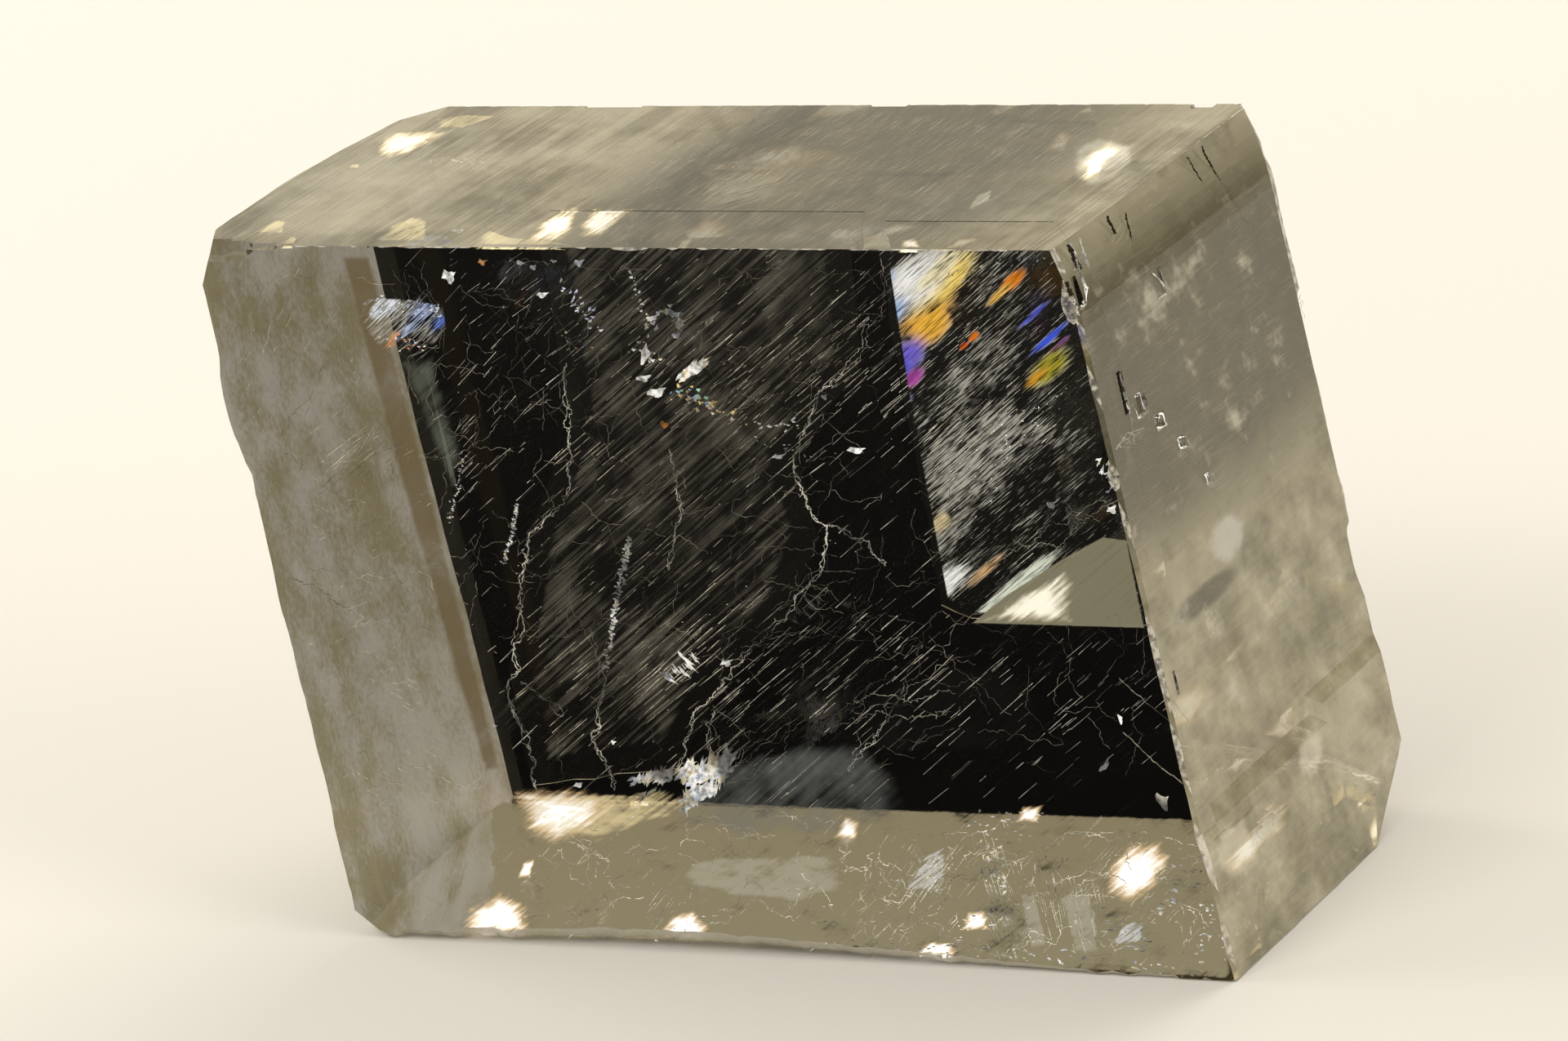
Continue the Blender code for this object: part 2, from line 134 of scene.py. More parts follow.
SPLIT_PLANE = Plane(Side.FRONT, 8.975, Side.FRONT)
MIRROR_PLANE = Plane(Side.FRONT, 8.91, Side.FRONT)
TONGUE_PLANE = Plane(Side.FRONT, 11.998, Side.FRONT)
NEAR_FRONT = Plane(Side.FRONT, 2.5, Side.FRONT)
UNDER_TOP = Plane(Side.TOP, 0.8, Side.TOP)
UNDER_RIGHT = Plane(Side.RIGHT, 0.5, Side.RIGHT)
ON_FOOT = Plane(Side.BOTTOM, 0.6, Side.FRONT)
BEFORE_BACK = Plane(Side.BACK, 1.2, Side.FRONT)
GLOW_PLANE = Plane(Side.FRONT, 8.86, Side.FRONT)
FOIL_PLANE = Plane(Side.FRONT, 14.0, Side.FRONT)
BEFORE_LEFT = Plane(Side.FRONT, 30.0, Side.FRONT)
EDGE_CHIP_PLANE = Plane(Side.FRONT, 0.4, Side.FRONT)
ON_RIGHT = Plane(Side.RIGHT, 0.12, Side.RIGHT)
FOOT_HAZE_PLANE = Plane(Side.BOTTOM, 0.35, Side.FRONT)


@dataclass(frozen=True)
class CleavageFrame:
    """The three edge directions of calcite, and the block's blunt corner."""

    corner: Vector

    @property
    def along_a(self) -> Vector:
        """Direction to the left, along the front edge of the top."""
        return Vector((-1.0, 0.0, 0.0))

    @property
    def along_c(self) -> Vector:
        """Direction to the back, along the right edge of the top."""
        return Vector((-math.cos(CLEAVAGE_ANGLE), math.sin(CLEAVAGE_ANGLE), 0.0))

    @property
    def along_b(self) -> Vector:
        """Direction down, along the right edge of the front."""
        x = -math.cos(CLEAVAGE_ANGLE)
        y = (math.cos(CLEAVAGE_ANGLE) - x * self.along_c.x) / self.along_c.y
        return Vector((x, y, -math.sqrt(1.0 - x * x - y * y)))

    def normal(self, side: Side) -> Vector:
        """Return the outward normal of a face."""
        pair, sign = side.value
        if pair == "top":
            outward = Vector((0.0, 0.0, 1.0))
        elif pair == "front":
            outward = self.along_a.cross(self.along_b).normalized()
        else:
            outward = self.along_b.cross(self.along_c).normalized()
        return outward * sign

    def origin(self, side: Side) -> Vector:
        """Return a place on a face."""
        places = {
            Side.RIGHT: (-RIGHT_OFFSET, 0.0, 0.0),
            Side.LEFT: (LENGTH_A, 0.0, 0.0),
            Side.BOTTOM: (0.0, LENGTH_B, 0.0),
            Side.BACK: (0.0, 0.0, LENGTH_C),
        }
        return self.at(*places.get(side, (0.0, 0.0, 0.0)))

    def stria(self, side: Side) -> tuple[Vector, Vector]:
        """Return the directions along and across the fine splits that a face shows."""
        if side.value[0] == "front":
            along = (-self.along_a - self.along_b * STRIA_LEAN).normalized()
        else:
            along = self.along_c
        return along, along.cross(self.normal(side)).normalized()

    def level(self, side: Side) -> Vector:
        """Return the direction in a face that the photograph shows nearly level."""
        return self.along_c if side.value[0] == "right" else -self.along_a

    def at(self, a: float, b: float, c: float) -> Vector:
        """Return the place a, b and c millimetres from the blunt corner."""
        return self.corner + (self.along_a * a + self.along_b * b + self.along_c * c) * MM

    def holds(self, place: Vector, margin: float = 0.7) -> bool:
        """Return whether a place lies inside all six faces by a margin in millimetres."""
        return all(
            (self.origin(side) - place).dot(self.normal(side)) > margin * MM for side in Side
        )


@dataclass(frozen=True)
class PhotoCamera:
    """The camera of the photograph, and the lines of sight through its pixels."""

    cleavage: CleavageFrame

    @property
    def place(self) -> Vector:
        """Where the camera stands."""
        return self.cleavage.corner + CAMERA_FROM_CORNER

    @property
    def rotation(self) -> Matrix:
        """The camera's axes as the columns of a matrix: right, up and back."""
        azimuth = math.radians(CAMERA_AZIMUTH)
        elevation = math.radians(CAMERA_ELEVATION)
        roll = math.radians(CAMERA_ROLL)
        level = math.cos(elevation)
        back = Vector((math.sin(azimuth) * level, -math.cos(azimuth) * level, math.sin(elevation)))
        level_right = (-back).cross(Vector((0.0, 0.0, 1.0))).normalized()
        level_up = level_right.cross(-back)
        right = level_right * math.cos(roll) + level_up * math.sin(roll)
        up = level_up * math.cos(roll) - level_right * math.sin(roll)
        return Matrix((right, up, back)).transposed()

    def build(self) -> bpy.types.Object:
        """Make the camera and hand it to the scene."""
        data = bpy.data.cameras.new("photo_camera")
        data.sensor_width = SENSOR_WIDTH
        data.lens = FOCAL_PIXELS / PHOTO_WIDTH * SENSOR_WIDTH
        data.clip_start = 0.05
        data.clip_end = 50.0
        camera = bpy.data.objects.new("photo_camera", data)
        bpy.context.scene.collection.objects.link(camera)
        camera.matrix_world = Matrix.Translation(self.place) @ self.rotation.to_4x4()
        bpy.context.scene.camera = camera
        return camera

    def sight(self, pixel: Pixel) -> Vector:
        """Return the direction of the line of sight through a pixel."""
        x = (pixel[0] - PHOTO_WIDTH / 2.0) / FOCAL_PIXELS
        y = (PHOTO_HEIGHT / 2.0 - pixel[1]) / FOCAL_PIXELS
        return (self.rotation @ Vector((x, y, -1.0))).normalized()

    def inside(self, pixel: Pixel, plane: Plane) -> Vector:
        """Return the place on a plane inside the block that a pixel shows.

        Args:
            pixel: The pixel in the photograph.
            plane: The plane, and the face that the line of sight enters.

        Returns:
            The place in the row's frame.
        """
        normal = self.cleavage.normal(plane.through)
        sight = self.sight(pixel)
        facing = -sight.dot(normal)
        away = (self.place - self.cleavage.origin(plane.through)).dot(normal)
        entry = self.place + sight * (away / facing)
        bent_facing = math.sqrt(1.0 - (1.0 - facing * facing) / CALCITE_IOR**2)
        bent = sight / CALCITE_IOR + normal * (facing / CALCITE_IOR - bent_facing)
        outward = self.cleavage.normal(plane.parallel)
        goal = self.cleavage.origin(plane.parallel) - outward * plane.depth * MM
        return entry + bent * ((goal - entry).dot(outward) / bent.dot(outward))


class Tree:
    """A material's or a world's node tree, emptied and ready to be filled."""

    def __init__(self, nodes: bpy.types.NodeTree) -> None:
        """Empty the tree."""
        self.tree = nodes
        nodes.nodes.clear()

    def add(self, kind: str, settings: dict | None = None, **inputs: object) -> bpy.types.Node:
        """Add a node with its settings, values and links.

        Args:
            kind: The node's type, without its ShaderNode prefix.
            settings: Properties of the node.
            **inputs: A value or a socket for each input, with _ for a space in its name. An
                input named in_0, in_1 and so on is found by its number.

        Returns:
            The node.
        """
        node = self.tree.nodes.new("ShaderNode" + kind)
        for name, value in (settings or {}).items():
            setattr(node, name, value)
        for name, value in inputs.items():
            key: int | str = int(name[3:]) if name.startswith("in_") else name.replace("_", " ")
            if isinstance(value, bpy.types.NodeSocket):
                self.tree.links.new(value, node.inputs[key])
            else:
                node.inputs[key].default_value = value
        return node

    def math(self, operation: str, first: object, second: object = 0.0) -> bpy.types.NodeSocket:
        """Add a sum, product or other operation on two numbers and return its result."""
        return self.add("Math", {"operation": operation}, in_0=first, in_1=second).outputs[0]

    def blend(self, *parts: tuple[object, float]) -> bpy.types.NodeSocket:
        """Return the sum of numbers, each with its weight."""
        total: object = 0.0
        for value, weight in parts:
            step = self.add(
                "Math", {"operation": "MULTIPLY_ADD"}, in_0=value, in_1=weight, in_2=total
            )
            total = step.outputs[0]
        return total

    def spread(
        self, value: object, low: float, high: float, to_low: float = 0.0, to_high: float = 1.0
    ) -> bpy.types.NodeSocket:
        """Map a number from one range to another, held within its ends."""
        node = self.add(
            "MapRange",
            {"clamp": True, "interpolation_type": "SMOOTHSTEP"},
            Value=value,
            From_Min=low,
            From_Max=high,
            To_Min=to_low,
            To_Max=to_high,
        )
        return node.outputs[0]

    def mix(self, factor: object, first: object, second: object) -> bpy.types.NodeSocket:
        """Mix two colours and return the result."""
        node = self.add("Mix", {"data_type": "RGBA"}, in_0=factor, in_6=first, in_7=second)
        return node.outputs[2]

    def place(self) -> bpy.types.NodeSocket:
        """Return the place on the object, in metres."""
        return self.add("TexCoord").outputs["Object"]

    def grain(self, size: float, detail: float = 3.0, rough: float = 0.55) -> bpy.types.NodeSocket:
        """Return noise whose lumps have a real size in millimetres."""
        scale = 1.0 / (size * MM)
        node = self.add(
            "TexNoise", Vector=self.place(), Scale=scale, Detail=detail, Roughness=rough
        )
        return node.outputs[0]

    def laid_out(self, along: Vector, across: Vector) -> bpy.types.NodeSocket:
        """Return the place as its distances in millimetres along and across a direction."""
        place = self.place()
        run = self.add("VectorMath", {"operation": "DOT_PRODUCT"}, in_0=place, in_1=along / MM)
        cross = self.add("VectorMath", {"operation": "DOT_PRODUCT"}, in_0=place, in_1=across / MM)
        joined = self.add("CombineXYZ", X=run.outputs["Value"], Y=cross.outputs["Value"])
        return joined.outputs[0]

    def streaks(
        self, flat: bpy.types.NodeSocket, length: float, width: float, detail: float = 3.0
    ) -> bpy.types.NodeSocket:
        """Return noise drawn out into streaks.

        Args:
            flat: The place as its distances along and across the streaks.
            length: The length of a streak in millimetres.
            width: Its width in millimetres.
            detail: How many finer layers the noise has.

        Returns:
            The noise.
        """
        scaled = self.add(
            "VectorMath", {"operation": "DIVIDE"}, in_0=flat, in_1=(length, width, 1.0)
        )
        node = self.add(
            "TexNoise", {"noise_dimensions": "2D"},
            Vector=scaled.outputs[0], Scale=1.0, Detail=detail, Roughness=0.6,
        )
        return node.outputs[0]

    def oval(
        self, flat: bpy.types.NodeSocket, middle: tuple[float, float], size: tuple[float, float],
        ragged: object = None,
    ) -> bpy.types.NodeSocket:
        """Return 1 within an oval and 0 outside it, with a soft or a ragged border.

        Args:
            flat: The place as its distances along and across a direction.
            middle: The oval's middle in the same distances.
            size: Its half length and half width in millimetres.
            ragged: A number round 0 that pushes the border in and out.

        Returns:
            The share of the oval at each place.
        """
        scale = (1.0 / size[0], 1.0 / size[1], 1.0)
        back = (-middle[0] / size[0], -middle[1] / size[1], 0.0)
        scaled = self.add(
            "VectorMath", {"operation": "MULTIPLY_ADD"}, in_0=flat, in_1=scale, in_2=back
        )
        reach = self.add("VectorMath", {"operation": "LENGTH"}, in_0=scaled.outputs[0])
        distance = reach.outputs["Value"]
        if ragged is not None:
            distance = self.math("ADD", distance, ragged)
        return self.spread(distance, 0.35, 1.2, 1.0, 0.0)

    def web(self, flat: bpy.types.NodeSocket, size: float, width: float) -> bpy.types.NodeSocket:
        """Return 1 along a wandering web of lines and 0 between them.

        Args:
            flat: The place as its distances along and across a direction.
            size: The size of a mesh of the web in millimetres.
            width: The width of its lines in millimetres.

        Returns:
            The web.
        """
        bend = self.add(
            "TexNoise", {"noise_dimensions": "2D"},
            Vector=flat, Scale=0.55, Detail=3.0, Roughness=0.65,
        )
        pushed = self.add(
            "VectorMath", {"operation": "MULTIPLY_ADD"},
            in_0=bend.outputs["Color"], in_1=(3.4, 3.4, 0.0), in_2=flat,
        )
        cells = self.add(
            "TexVoronoi", {"feature": "DISTANCE_TO_EDGE", "voronoi_dimensions": "2D"},
            Vector=pushed.outputs[0], Scale=1.0 / size,
        )
        return self.spread(cells.outputs["Distance"], 0.0, width / size, 1.0, 0.0)

    def bump(self, height: object, strength: float, distance: float) -> bpy.types.NodeSocket:
        """Return a bumped normal: distance is the height of the bumps in millimetres."""
        node = self.add("Bump", Height=height, Strength=strength, Distance=distance * MM)
        return node.outputs[0]


def new_material(name: str) -> tuple[bpy.types.Material, Tree]:
    """Make an empty material and return it with its tree."""
    material = bpy.data.materials.new(name)
    # No glow in here lights anything else: the lamps and the sky do
    material.cycles.emission_sampling = "NONE"
    material.use_nodes = True
    return material, Tree(material.node_tree)


@dataclass(frozen=True)
class SparBody:
    """What calcite does to light inside: a faint smoky beige that grows with depth."""

    tint: str = "ece7da"
    density: float = 12.0

    def fill(self, tree: Tree, output: bpy.types.Node) -> None:
        """Put the tint inside the surface."""
        volume = tree.add("VolumeAbsorption", Color=linear(self.tint))
        volume.inputs["Density"].default_value = self.density
        tree.tree.links.new(volume.outputs[0], output.inputs["Volume"])


@dataclass(frozen=True)
class Patch:
    """An oval on a plane, drawn out along the fine splits: its middle, half sizes and tone."""

    pixel: Pixel
    along: float
    across: float
    color: str = "ffffff"
    strength: float = 1.0

    def share(
        self, tree: Tree, flat: bpy.types.NodeSocket, cleavage: CleavageFrame, plane: Plane,
        ragged: object = None,
    ) -> bpy.types.NodeSocket:
        """Return how much of each place the patch covers."""
        along, across = cleavage.stria(plane.parallel)
        middle = PhotoCamera(cleavage).inside(self.pixel, plane) / MM
        return tree.oval(
            flat, (middle.dot(along), middle.dot(across)), (self.along, self.across), ragged
        )


@dataclass(frozen=True)
class ClearCleavage:
    """A clean cleavage face of clear spar: flat and glassy."""

    name: str = "clear_cleavage"
    color: str = "fdfbf4"
    roughness: float = 0.012
    body: SparBody = SparBody()

    def build(self, cleavage: CleavageFrame) -> bpy.types.Material:
        """Return the material."""
        material, tree = new_material(self.name)
        shader = tree.add("BsdfPrincipled", Base_Color=linear(self.color))
        shader.inputs["Roughness"].default_value = self.roughness
        shader.inputs["IOR"].default_value = CALCITE_IOR
        shader.inputs["Transmission Weight"].default_value = 1.0
        output = tree.add("OutputMaterial", Surface=shader.outputs[0])
        self.body.fill(tree, output)
        return material


@dataclass(frozen=True)
class HazyCleavage:
    """The back face, whose minute steps catch light in drawn-out bands.

    Where it is smooth the eye looks straight through it; where it is stepped it is frosted.
    """

    bands: tuple[Patch, ...]
    name: str = "hazy_cleavage"
    color: str = "fdfbf4"
    clear: float = 0.012
    frosted: float = 0.42
    body: SparBody = SparBody()

    def build(self, cleavage: CleavageFrame) -> bpy.types.Material:
        """Return the material."""
        material, tree = new_material(self.name)
        flat = tree.laid_out(*cleavage.stria(Side.BACK))
        fine = tree.streaks(flat, 14.0, 0.45, 3.0)
        broad = tree.streaks(flat, 40.0, 3.0, 2.0)
        cloud = tree.grain(12.0, 3.0, 0.6)
        tone = tree.blend((fine, 0.45), (broad, 0.25), (cloud, 0.3))
        push = tree.blend((cloud, 1.6), (broad, 1.0), (1.0, -1.3))
        plane = Plane(Side.BACK, 0.0, Side.FRONT)
        for band in self.bands:
            share = band.share(tree, flat, cleavage, plane, push)
            tone = tree.blend((share, band.strength), (tone, 1.0))
        roughness = tree.spread(tone, 0.52, 0.78, self.clear, self.frosted)
        shader = tree.add("BsdfPrincipled", Base_Color=linear(self.color), Roughness=roughness)
        shader.inputs["IOR"].default_value = CALCITE_IOR
        shader.inputs["Transmission Weight"].default_value = 1.0
        output = tree.add("OutputMaterial", Surface=shader.outputs[0])
        self.body.fill(tree, output)
        return material


@dataclass(frozen=True)
class MilkyCleavage:
    """A cleavage face over cloudy spar: clear, but with a soft beige milkiness in it.

    The fine splits that run back from its front edge draw it out into faint streaks. Its patches are painted
    shade and painted highlights: darker and paler ovals mixed into its colour.
    """

    name: str
    side: Side
    pale: str = "d6ceb2"
    dark: str = "7a7154"
    hair: float = 0.4
    reach: float = 0.16
    clear_share: float = 0.6
    roughness: float = 0.035
    cloud: float = 15.0
    streak: tuple[float, float] = (26.0, 0.4)
    streak_share: float = 0.45
    painted_light_and_shade: tuple[Patch, ...] = ()
    body: SparBody = SparBody()

    def build(self, cleavage: CleavageFrame) -> bpy.types.Material:
        """Return the material."""
        material, tree = new_material(self.name)
        flat = tree.laid_out(*cleavage.stria(self.side))
        lamellae = tree.streaks(flat, *self.streak, 3.0)
        wide = tree.streaks(flat, self.streak[0] * 1.5, self.streak[1] * 9.0, 2.0)
        cloud = tree.grain(self.cloud, 3.0, 0.6)
        tone = tree.blend(
            (lamellae, self.streak_share * 0.5),
            (wide, self.streak_share * 0.5),
            (cloud, 1.0 - self.streak_share),
        )
        near, far = 0.5 - self.reach, 0.5 + self.reach
        color = tree.mix(tree.spread(tone, near, far), linear(self.dark), linear(self.pale))
        plane = Plane(self.side, 0.0, self.side)
        # Painted shade and painted highlights: each patch mixes its darker or paler colour in
        for patch in self.painted_light_and_shade:
            share = patch.share(tree, flat, cleavage, plane)
            part = tree.spread(
                tree.blend((share, 1.0), (tone, 2.0), (1.0, -1.0)), 0.1, 0.9, 0.0, patch.strength
            )
            color = tree.mix(part, color, linear(patch.color))
        hair = tree.spread(tree.streaks(flat, 7.0, 0.16, 2.0), 0.56, 0.74)
        color = tree.mix(tree.blend((hair, self.hair)), color, linear("efe9d6"))
        clear = tree.spread(tone, near, far, self.clear_share + 0.08, self.clear_share - 0.08)
        shader = tree.add("BsdfPrincipled", Base_Color=color, Transmission_Weight=clear)
        shader.inputs["Roughness"].default_value = self.roughness
        shader.inputs["IOR"].default_value = CALCITE_IOR
        output = tree.add("OutputMaterial", Surface=shader.outputs[0])
        self.body.fill(tree, output)
        return material


@dataclass(frozen=True)
class FrostedFracture:
    """A broken end of spar: minutely stepped, so it scatters the light that passes it."""

    name: str = "frosted_fracture"
    color: str = "fffaf0"
    stain: str = "bfb183"
    roughness: float = 0.62
    bump: float = 0.05
    glow: float = 0.21
    body: SparBody = SparBody()

    def build(self, cleavage: CleavageFrame) -> bpy.types.Material:
        """Return the material."""
        material, tree = new_material(self.name)
        coarse = tree.grain(6.0, 5.0)
        height = tree.blend((coarse, 1.0), (tree.grain(1.2), 0.25))
        cloud = tree.grain(22.0, 2.0)
        stain = tree.spread(
            tree.blend((coarse, 0.35), (tree.grain(0.8, 2.0), 0.2), (cloud, 0.45)), 0.4, 0.6
        )
        color = tree.mix(stain, linear(self.stain), linear(self.color))
        shader = tree.add(
            "BsdfPrincipled",
            Base_Color=color,
            Emission_Color=color,
            Normal=tree.bump(height, 0.7, self.bump),
        )
        # Shadow rays can't follow light that a face has bent: the glow stands for what it brings
        shader.inputs["Emission Strength"].default_value = self.glow
        shader.inputs["Roughness"].default_value = self.roughness
        shader.inputs["IOR"].default_value = CALCITE_IOR
        shader.inputs["Transmission Weight"].default_value = 0.95
        output = tree.add("OutputMaterial", Surface=shader.outputs[0])
        self.body.fill(tree, output)
        return material


@dataclass(frozen=True)
class CrushedEdge:
    """Crushed spar along an edge or in a pit: white, because every splinter scatters light."""

    name: str = "crushed_edge"
    color: str = "dcd7c8"
    roughness: float = 0.45
    body: SparBody = SparBody()

    def build(self, cleavage: CleavageFrame) -> bpy.types.Material:
        """Return the material."""
        material, tree = new_material(self.name)
        clear = tree.spread(tree.grain(0.9, 4.0), 0.38, 0.62, 0.2, 0.95)
        shader = tree.add(
            "BsdfPrincipled",
            Base_Color=linear(self.color),
            Transmission_Weight=clear,
            Normal=tree.bump(tree.grain(0.6, 4.0), 0.9, 0.15),
        )
        shader.inputs["Roughness"].default_value = self.roughness
        shader.inputs["IOR"].default_value = CALCITE_IOR
        output = tree.add("OutputMaterial", Surface=shader.outputs[0])
        self.body.fill(tree, output)
        return material


@dataclass(frozen=True)
class Splinter:
    """Split calcite with air behind it, which sends back what light comes in.

    Shadow rays can't follow light that a face has bent, so a small glow stands for it.  Each
    splinter has a tint of its own in its mesh.
    """

    name: str
    color: str
    glow: float
    tinted: bool = False

    def build(self, cleavage: CleavageFrame) -> bpy.types.Material:
        """Return the material."""
        material, tree = new_material(self.name)
        tone = tree.math(
            "MULTIPLY",
            tree.spread(tree.grain(0.7, 2.0), 0.3, 0.65, 0.3, 1.0),
            tree.spread(tree.grain(7.0, 2.0), 0.38, 0.62, 0.15, 1.0),
        )
        own: object = linear(self.color)
        if self.tinted:
            own = tree.add("Attribute", {"attribute_name": "tint"}).outputs["Color"]
        color = tree.mix(tone, linear("101010"), own)
        shader = tree.add("BsdfPrincipled", Base_Color=color, Emission_Color=color)
        shader.inputs["Emission Strength"].default_value = self.glow
        shader.inputs["Roughness"].default_value = 0.35
        tree.add("OutputMaterial", Surface=shader.outputs[0])
        return material


@dataclass(frozen=True)
class Veil:
    """A thin sheet of minute bubbles or splits, drawn out along the crystal.

    It hides little; the light it scatters inside the block is painted, as a glow of its own colour over a
    black base.
    """

    name: str
    color: str
    glow: float
    cover: float
    side: Side = Side.FRONT
    streak: tuple[float, float] = (22.0, 0.6)
    cloud: float = 9.0
    cloud_share: float = 0.5
    middle: float = 0.52
    sharp: float = 0.16
    shrink: float = 0.5

    def build(self, cleavage: CleavageFrame) -> bpy.types.Material:
        """Return the material."""
        material, tree = new_material(self.name)
        flat = tree.laid_out(*cleavage.stria(self.side))
        lamellae = tree.streaks(flat, *self.streak, 3.0)
        cloud = tree.grain(self.cloud, 3.0, 0.6)
        edge = tree.add("Attribute", {"attribute_name": "rim"}).outputs["Fac"]
        rim = tree.spread(edge, 0.0, 1.0)
        tone = tree.blend(
            (lamellae, 1.0 - self.cloud_share),
            (cloud, self.cloud_share),
            (rim, self.shrink),
            (1.0, -self.shrink),
        )
        mask = tree.spread(tone, self.middle - self.sharp, self.middle + self.sharp)
        alpha = tree.math("MULTIPLY", mask, tree.math("MULTIPLY", rim, self.cover))
        # Painted light: the sheet is black and glows in its own colour
        shader = tree.add(
            "BsdfPrincipled",
            Base_Color=linear("000000"),
            Emission_Color=linear(self.color),
            Alpha=alpha,
        )
        shader.inputs["Emission Strength"].default_value = self.glow
        shader.inputs["Roughness"].default_value = 0.6
        shader.inputs["Specular IOR Level"].default_value = 0.0
        tree.add("OutputMaterial", Surface=shader.outputs[0])
        return material


@dataclass(frozen=True)
class Glow:
    """A split that throws a lamp's light straight back, drawn as a painted highlight: a white glow with a
    warm fringe.
    """

    name: str
    core: str = "ffffff"
    fringe: str = "d9c393"
    power: float = 1.5
    side: Side = Side.FRONT
    streak: tuple[float, float] = (6.0, 0.5)
    ragged: float = 3.2

    def build(self, cleavage: CleavageFrame) -> bpy.types.Material:
        """Return the material."""
        material, tree = new_material(self.name)
        flat = tree.laid_out(*cleavage.stria(self.side))
        tone = tree.blend((tree.streaks(flat, *self.streak, 4.0), 0.6), (tree.grain(2.6, 4.0), 0.4))
        rim = tree.add("Attribute", {"attribute_name": "rim"}).outputs["Fac"]
        height = tree.blend((rim, 1.0), (tone, self.ragged), (1.0, -0.5 * self.ragged))
        # Painted highlight: a black sheet that glows white at its core and warm at its fringe
        color = tree.mix(tree.spread(height, 0.4, 1.6), linear(self.fringe), linear(self.core))
        shader = tree.add(
            "BsdfPrincipled",
            Base_Color=linear("000000"),
            Emission_Color=color,
            Alpha=tree.math("MULTIPLY", tree.spread(height, 0.1, 1.7), tree.spread(rim, 0.0, 0.5)),
        )
        shader.inputs["Emission Strength"].default_value = self.power
        shader.inputs["Specular IOR Level"].default_value = 0.0
        shader.inputs["Roughness"].default_value = 0.5
        tree.add("OutputMaterial", Surface=shader.outputs[0])
        return material


@dataclass(frozen=True)
class SplitCleavage:
    """A cleavage plane that has opened inside the crystal.

    The light that the film of air in it throws back is painted, as a glow: a silvery reflection
    along the steps of the split, and the colours of a thin film where the gap is narrowest.
    """

    name: str
    plane: Plane
    silver: tuple[Patch, ...]
    film: tuple[Patch, ...]
    silver_color: str = "b4b1a7"
    bare: float = 0.575
    power: float = 1.0

    def build(self, cleavage: CleavageFrame) -> bpy.types.Material:
        """Return the material."""
        material, tree = new_material(self.name)
        flat = tree.laid_out(*cleavage.stria(self.plane.parallel))
        hair = tree.streaks(flat, 4.0, 0.14, 2.0)
        fine = tree.streaks(flat, 2.2, 0.3, 4.0)
        texture = tree.blend((hair, 0.5), (fine, 0.3), (tree.grain(3.5, 3.0, 0.6), 0.2))
        relief = tree.blend((texture, 2.4), (1.0, -1.2))
        silver: object = 0.0
        for patch in self.silver:
            share = patch.share(tree, flat, cleavage, self.plane)
            silver = tree.math("MAXIMUM", silver, tree.math("MULTIPLY", share, patch.strength))
        tone = tree.blend((texture, 1.0), (silver, 0.14))
        cover: object = tree.spread(tone, self.bare, self.bare + 0.15, 0.0, 0.85)
        color: object = linear(self.silver_color)
        tinted: object = 0.0
        for patch in self.film:
            share = patch.share(tree, flat, cleavage, self.plane)
            color = tree.mix(share, color, linear(patch.color))
            tinted = tree.math("MAXIMUM", tinted, tree.math("MULTIPLY", share, patch.strength))
        bright = tree.math("ADD", tinted, relief)
        cover = tree.math("MAXIMUM", cover, tree.spread(bright, 0.25, 0.8))
        color = tree.mix(tree.spread(texture, 0.36, 0.56, 0.25, 1.0), linear("0c0b0a"), color)
        rim = tree.add("Attribute", {"attribute_name": "rim"}).outputs["Fac"]
        held = tree.math("MULTIPLY", cover, tree.spread(rim, 0.0, 0.4))
        # Painted reflection: a black sheet that glows silver and in thin-film colours
        shader = tree.add(
            "BsdfPrincipled", Base_Color=linear("000000"), Emission_Color=color, Alpha=held
        )
        shader.inputs["Emission Strength"].default_value = self.power
        shader.inputs["Specular IOR Level"].default_value = 0.0
        shader.inputs["Roughness"].default_value = 0.3
        tree.add("OutputMaterial", Surface=shader.outputs[0])
        return material


@dataclass(frozen=True)
class DarkCrack:
    """A crack that comes out at a face, drawn as a dark line: its darkness is painted shade, since no light
    comes back from it.
    """

    name: str = "dark_crack"
    color: str = "2e2818"

    def build(self, cleavage: CleavageFrame) -> bpy.types.Material:
        """Return the material."""
        material, tree = new_material(self.name)
        # Painted shade: a dark brown base colour
        shader = tree.add("BsdfPrincipled", Base_Color=linear(self.color))
        shader.inputs["Roughness"].default_value = 0.8
        shader.inputs["Specular IOR Level"].default_value = 0.1
        tree.add("OutputMaterial", Surface=shader.outputs[0])
        return material


Finish = Splinter | Veil | Glow | SplitCleavage | DarkCrack


def deselect() -> None:
    """Leave edit mode and deselect every object."""
    if bpy.context.object and bpy.context.object.mode != "OBJECT":
        bpy.ops.object.mode_set(mode="OBJECT")
    bpy.ops.object.select_all(action="DESELECT")


def make_active(thing: bpy.types.Object) -> None:
    """Select one object alone and make it active."""
    deselect()
    thing.select_set(True)
    bpy.context.view_layer.objects.active = thing


def join(things: list[bpy.types.Object], name: str) -> bpy.types.Object:
    """Join objects into one and name it."""
    deselect()
    for thing in things:
        thing.select_set(True)
    bpy.context.view_layer.objects.active = things[0]
    if len(things) > 1:
        bpy.ops.object.join()
    joined = bpy.context.object
    joined.name = name
    joined.data.name = name
    return joined


def hand_over(piece: bpy.types.Object, material: bpy.types.Material) -> bpy.types.Object:
    """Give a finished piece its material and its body.

    Args:
        piece: The piece, with its place in its mesh.
        material: Its finish.

    Returns:
        The piece.
    """
    piece.data.materials.clear()
    piece.data.materials.append(material)
    # Light reaches a flaw by way of the crystal's faces, which no shadow ray passes
    piece.visible_shadow = False
    piece.visible_diffuse = False
    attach(piece, BODY)
    return piece


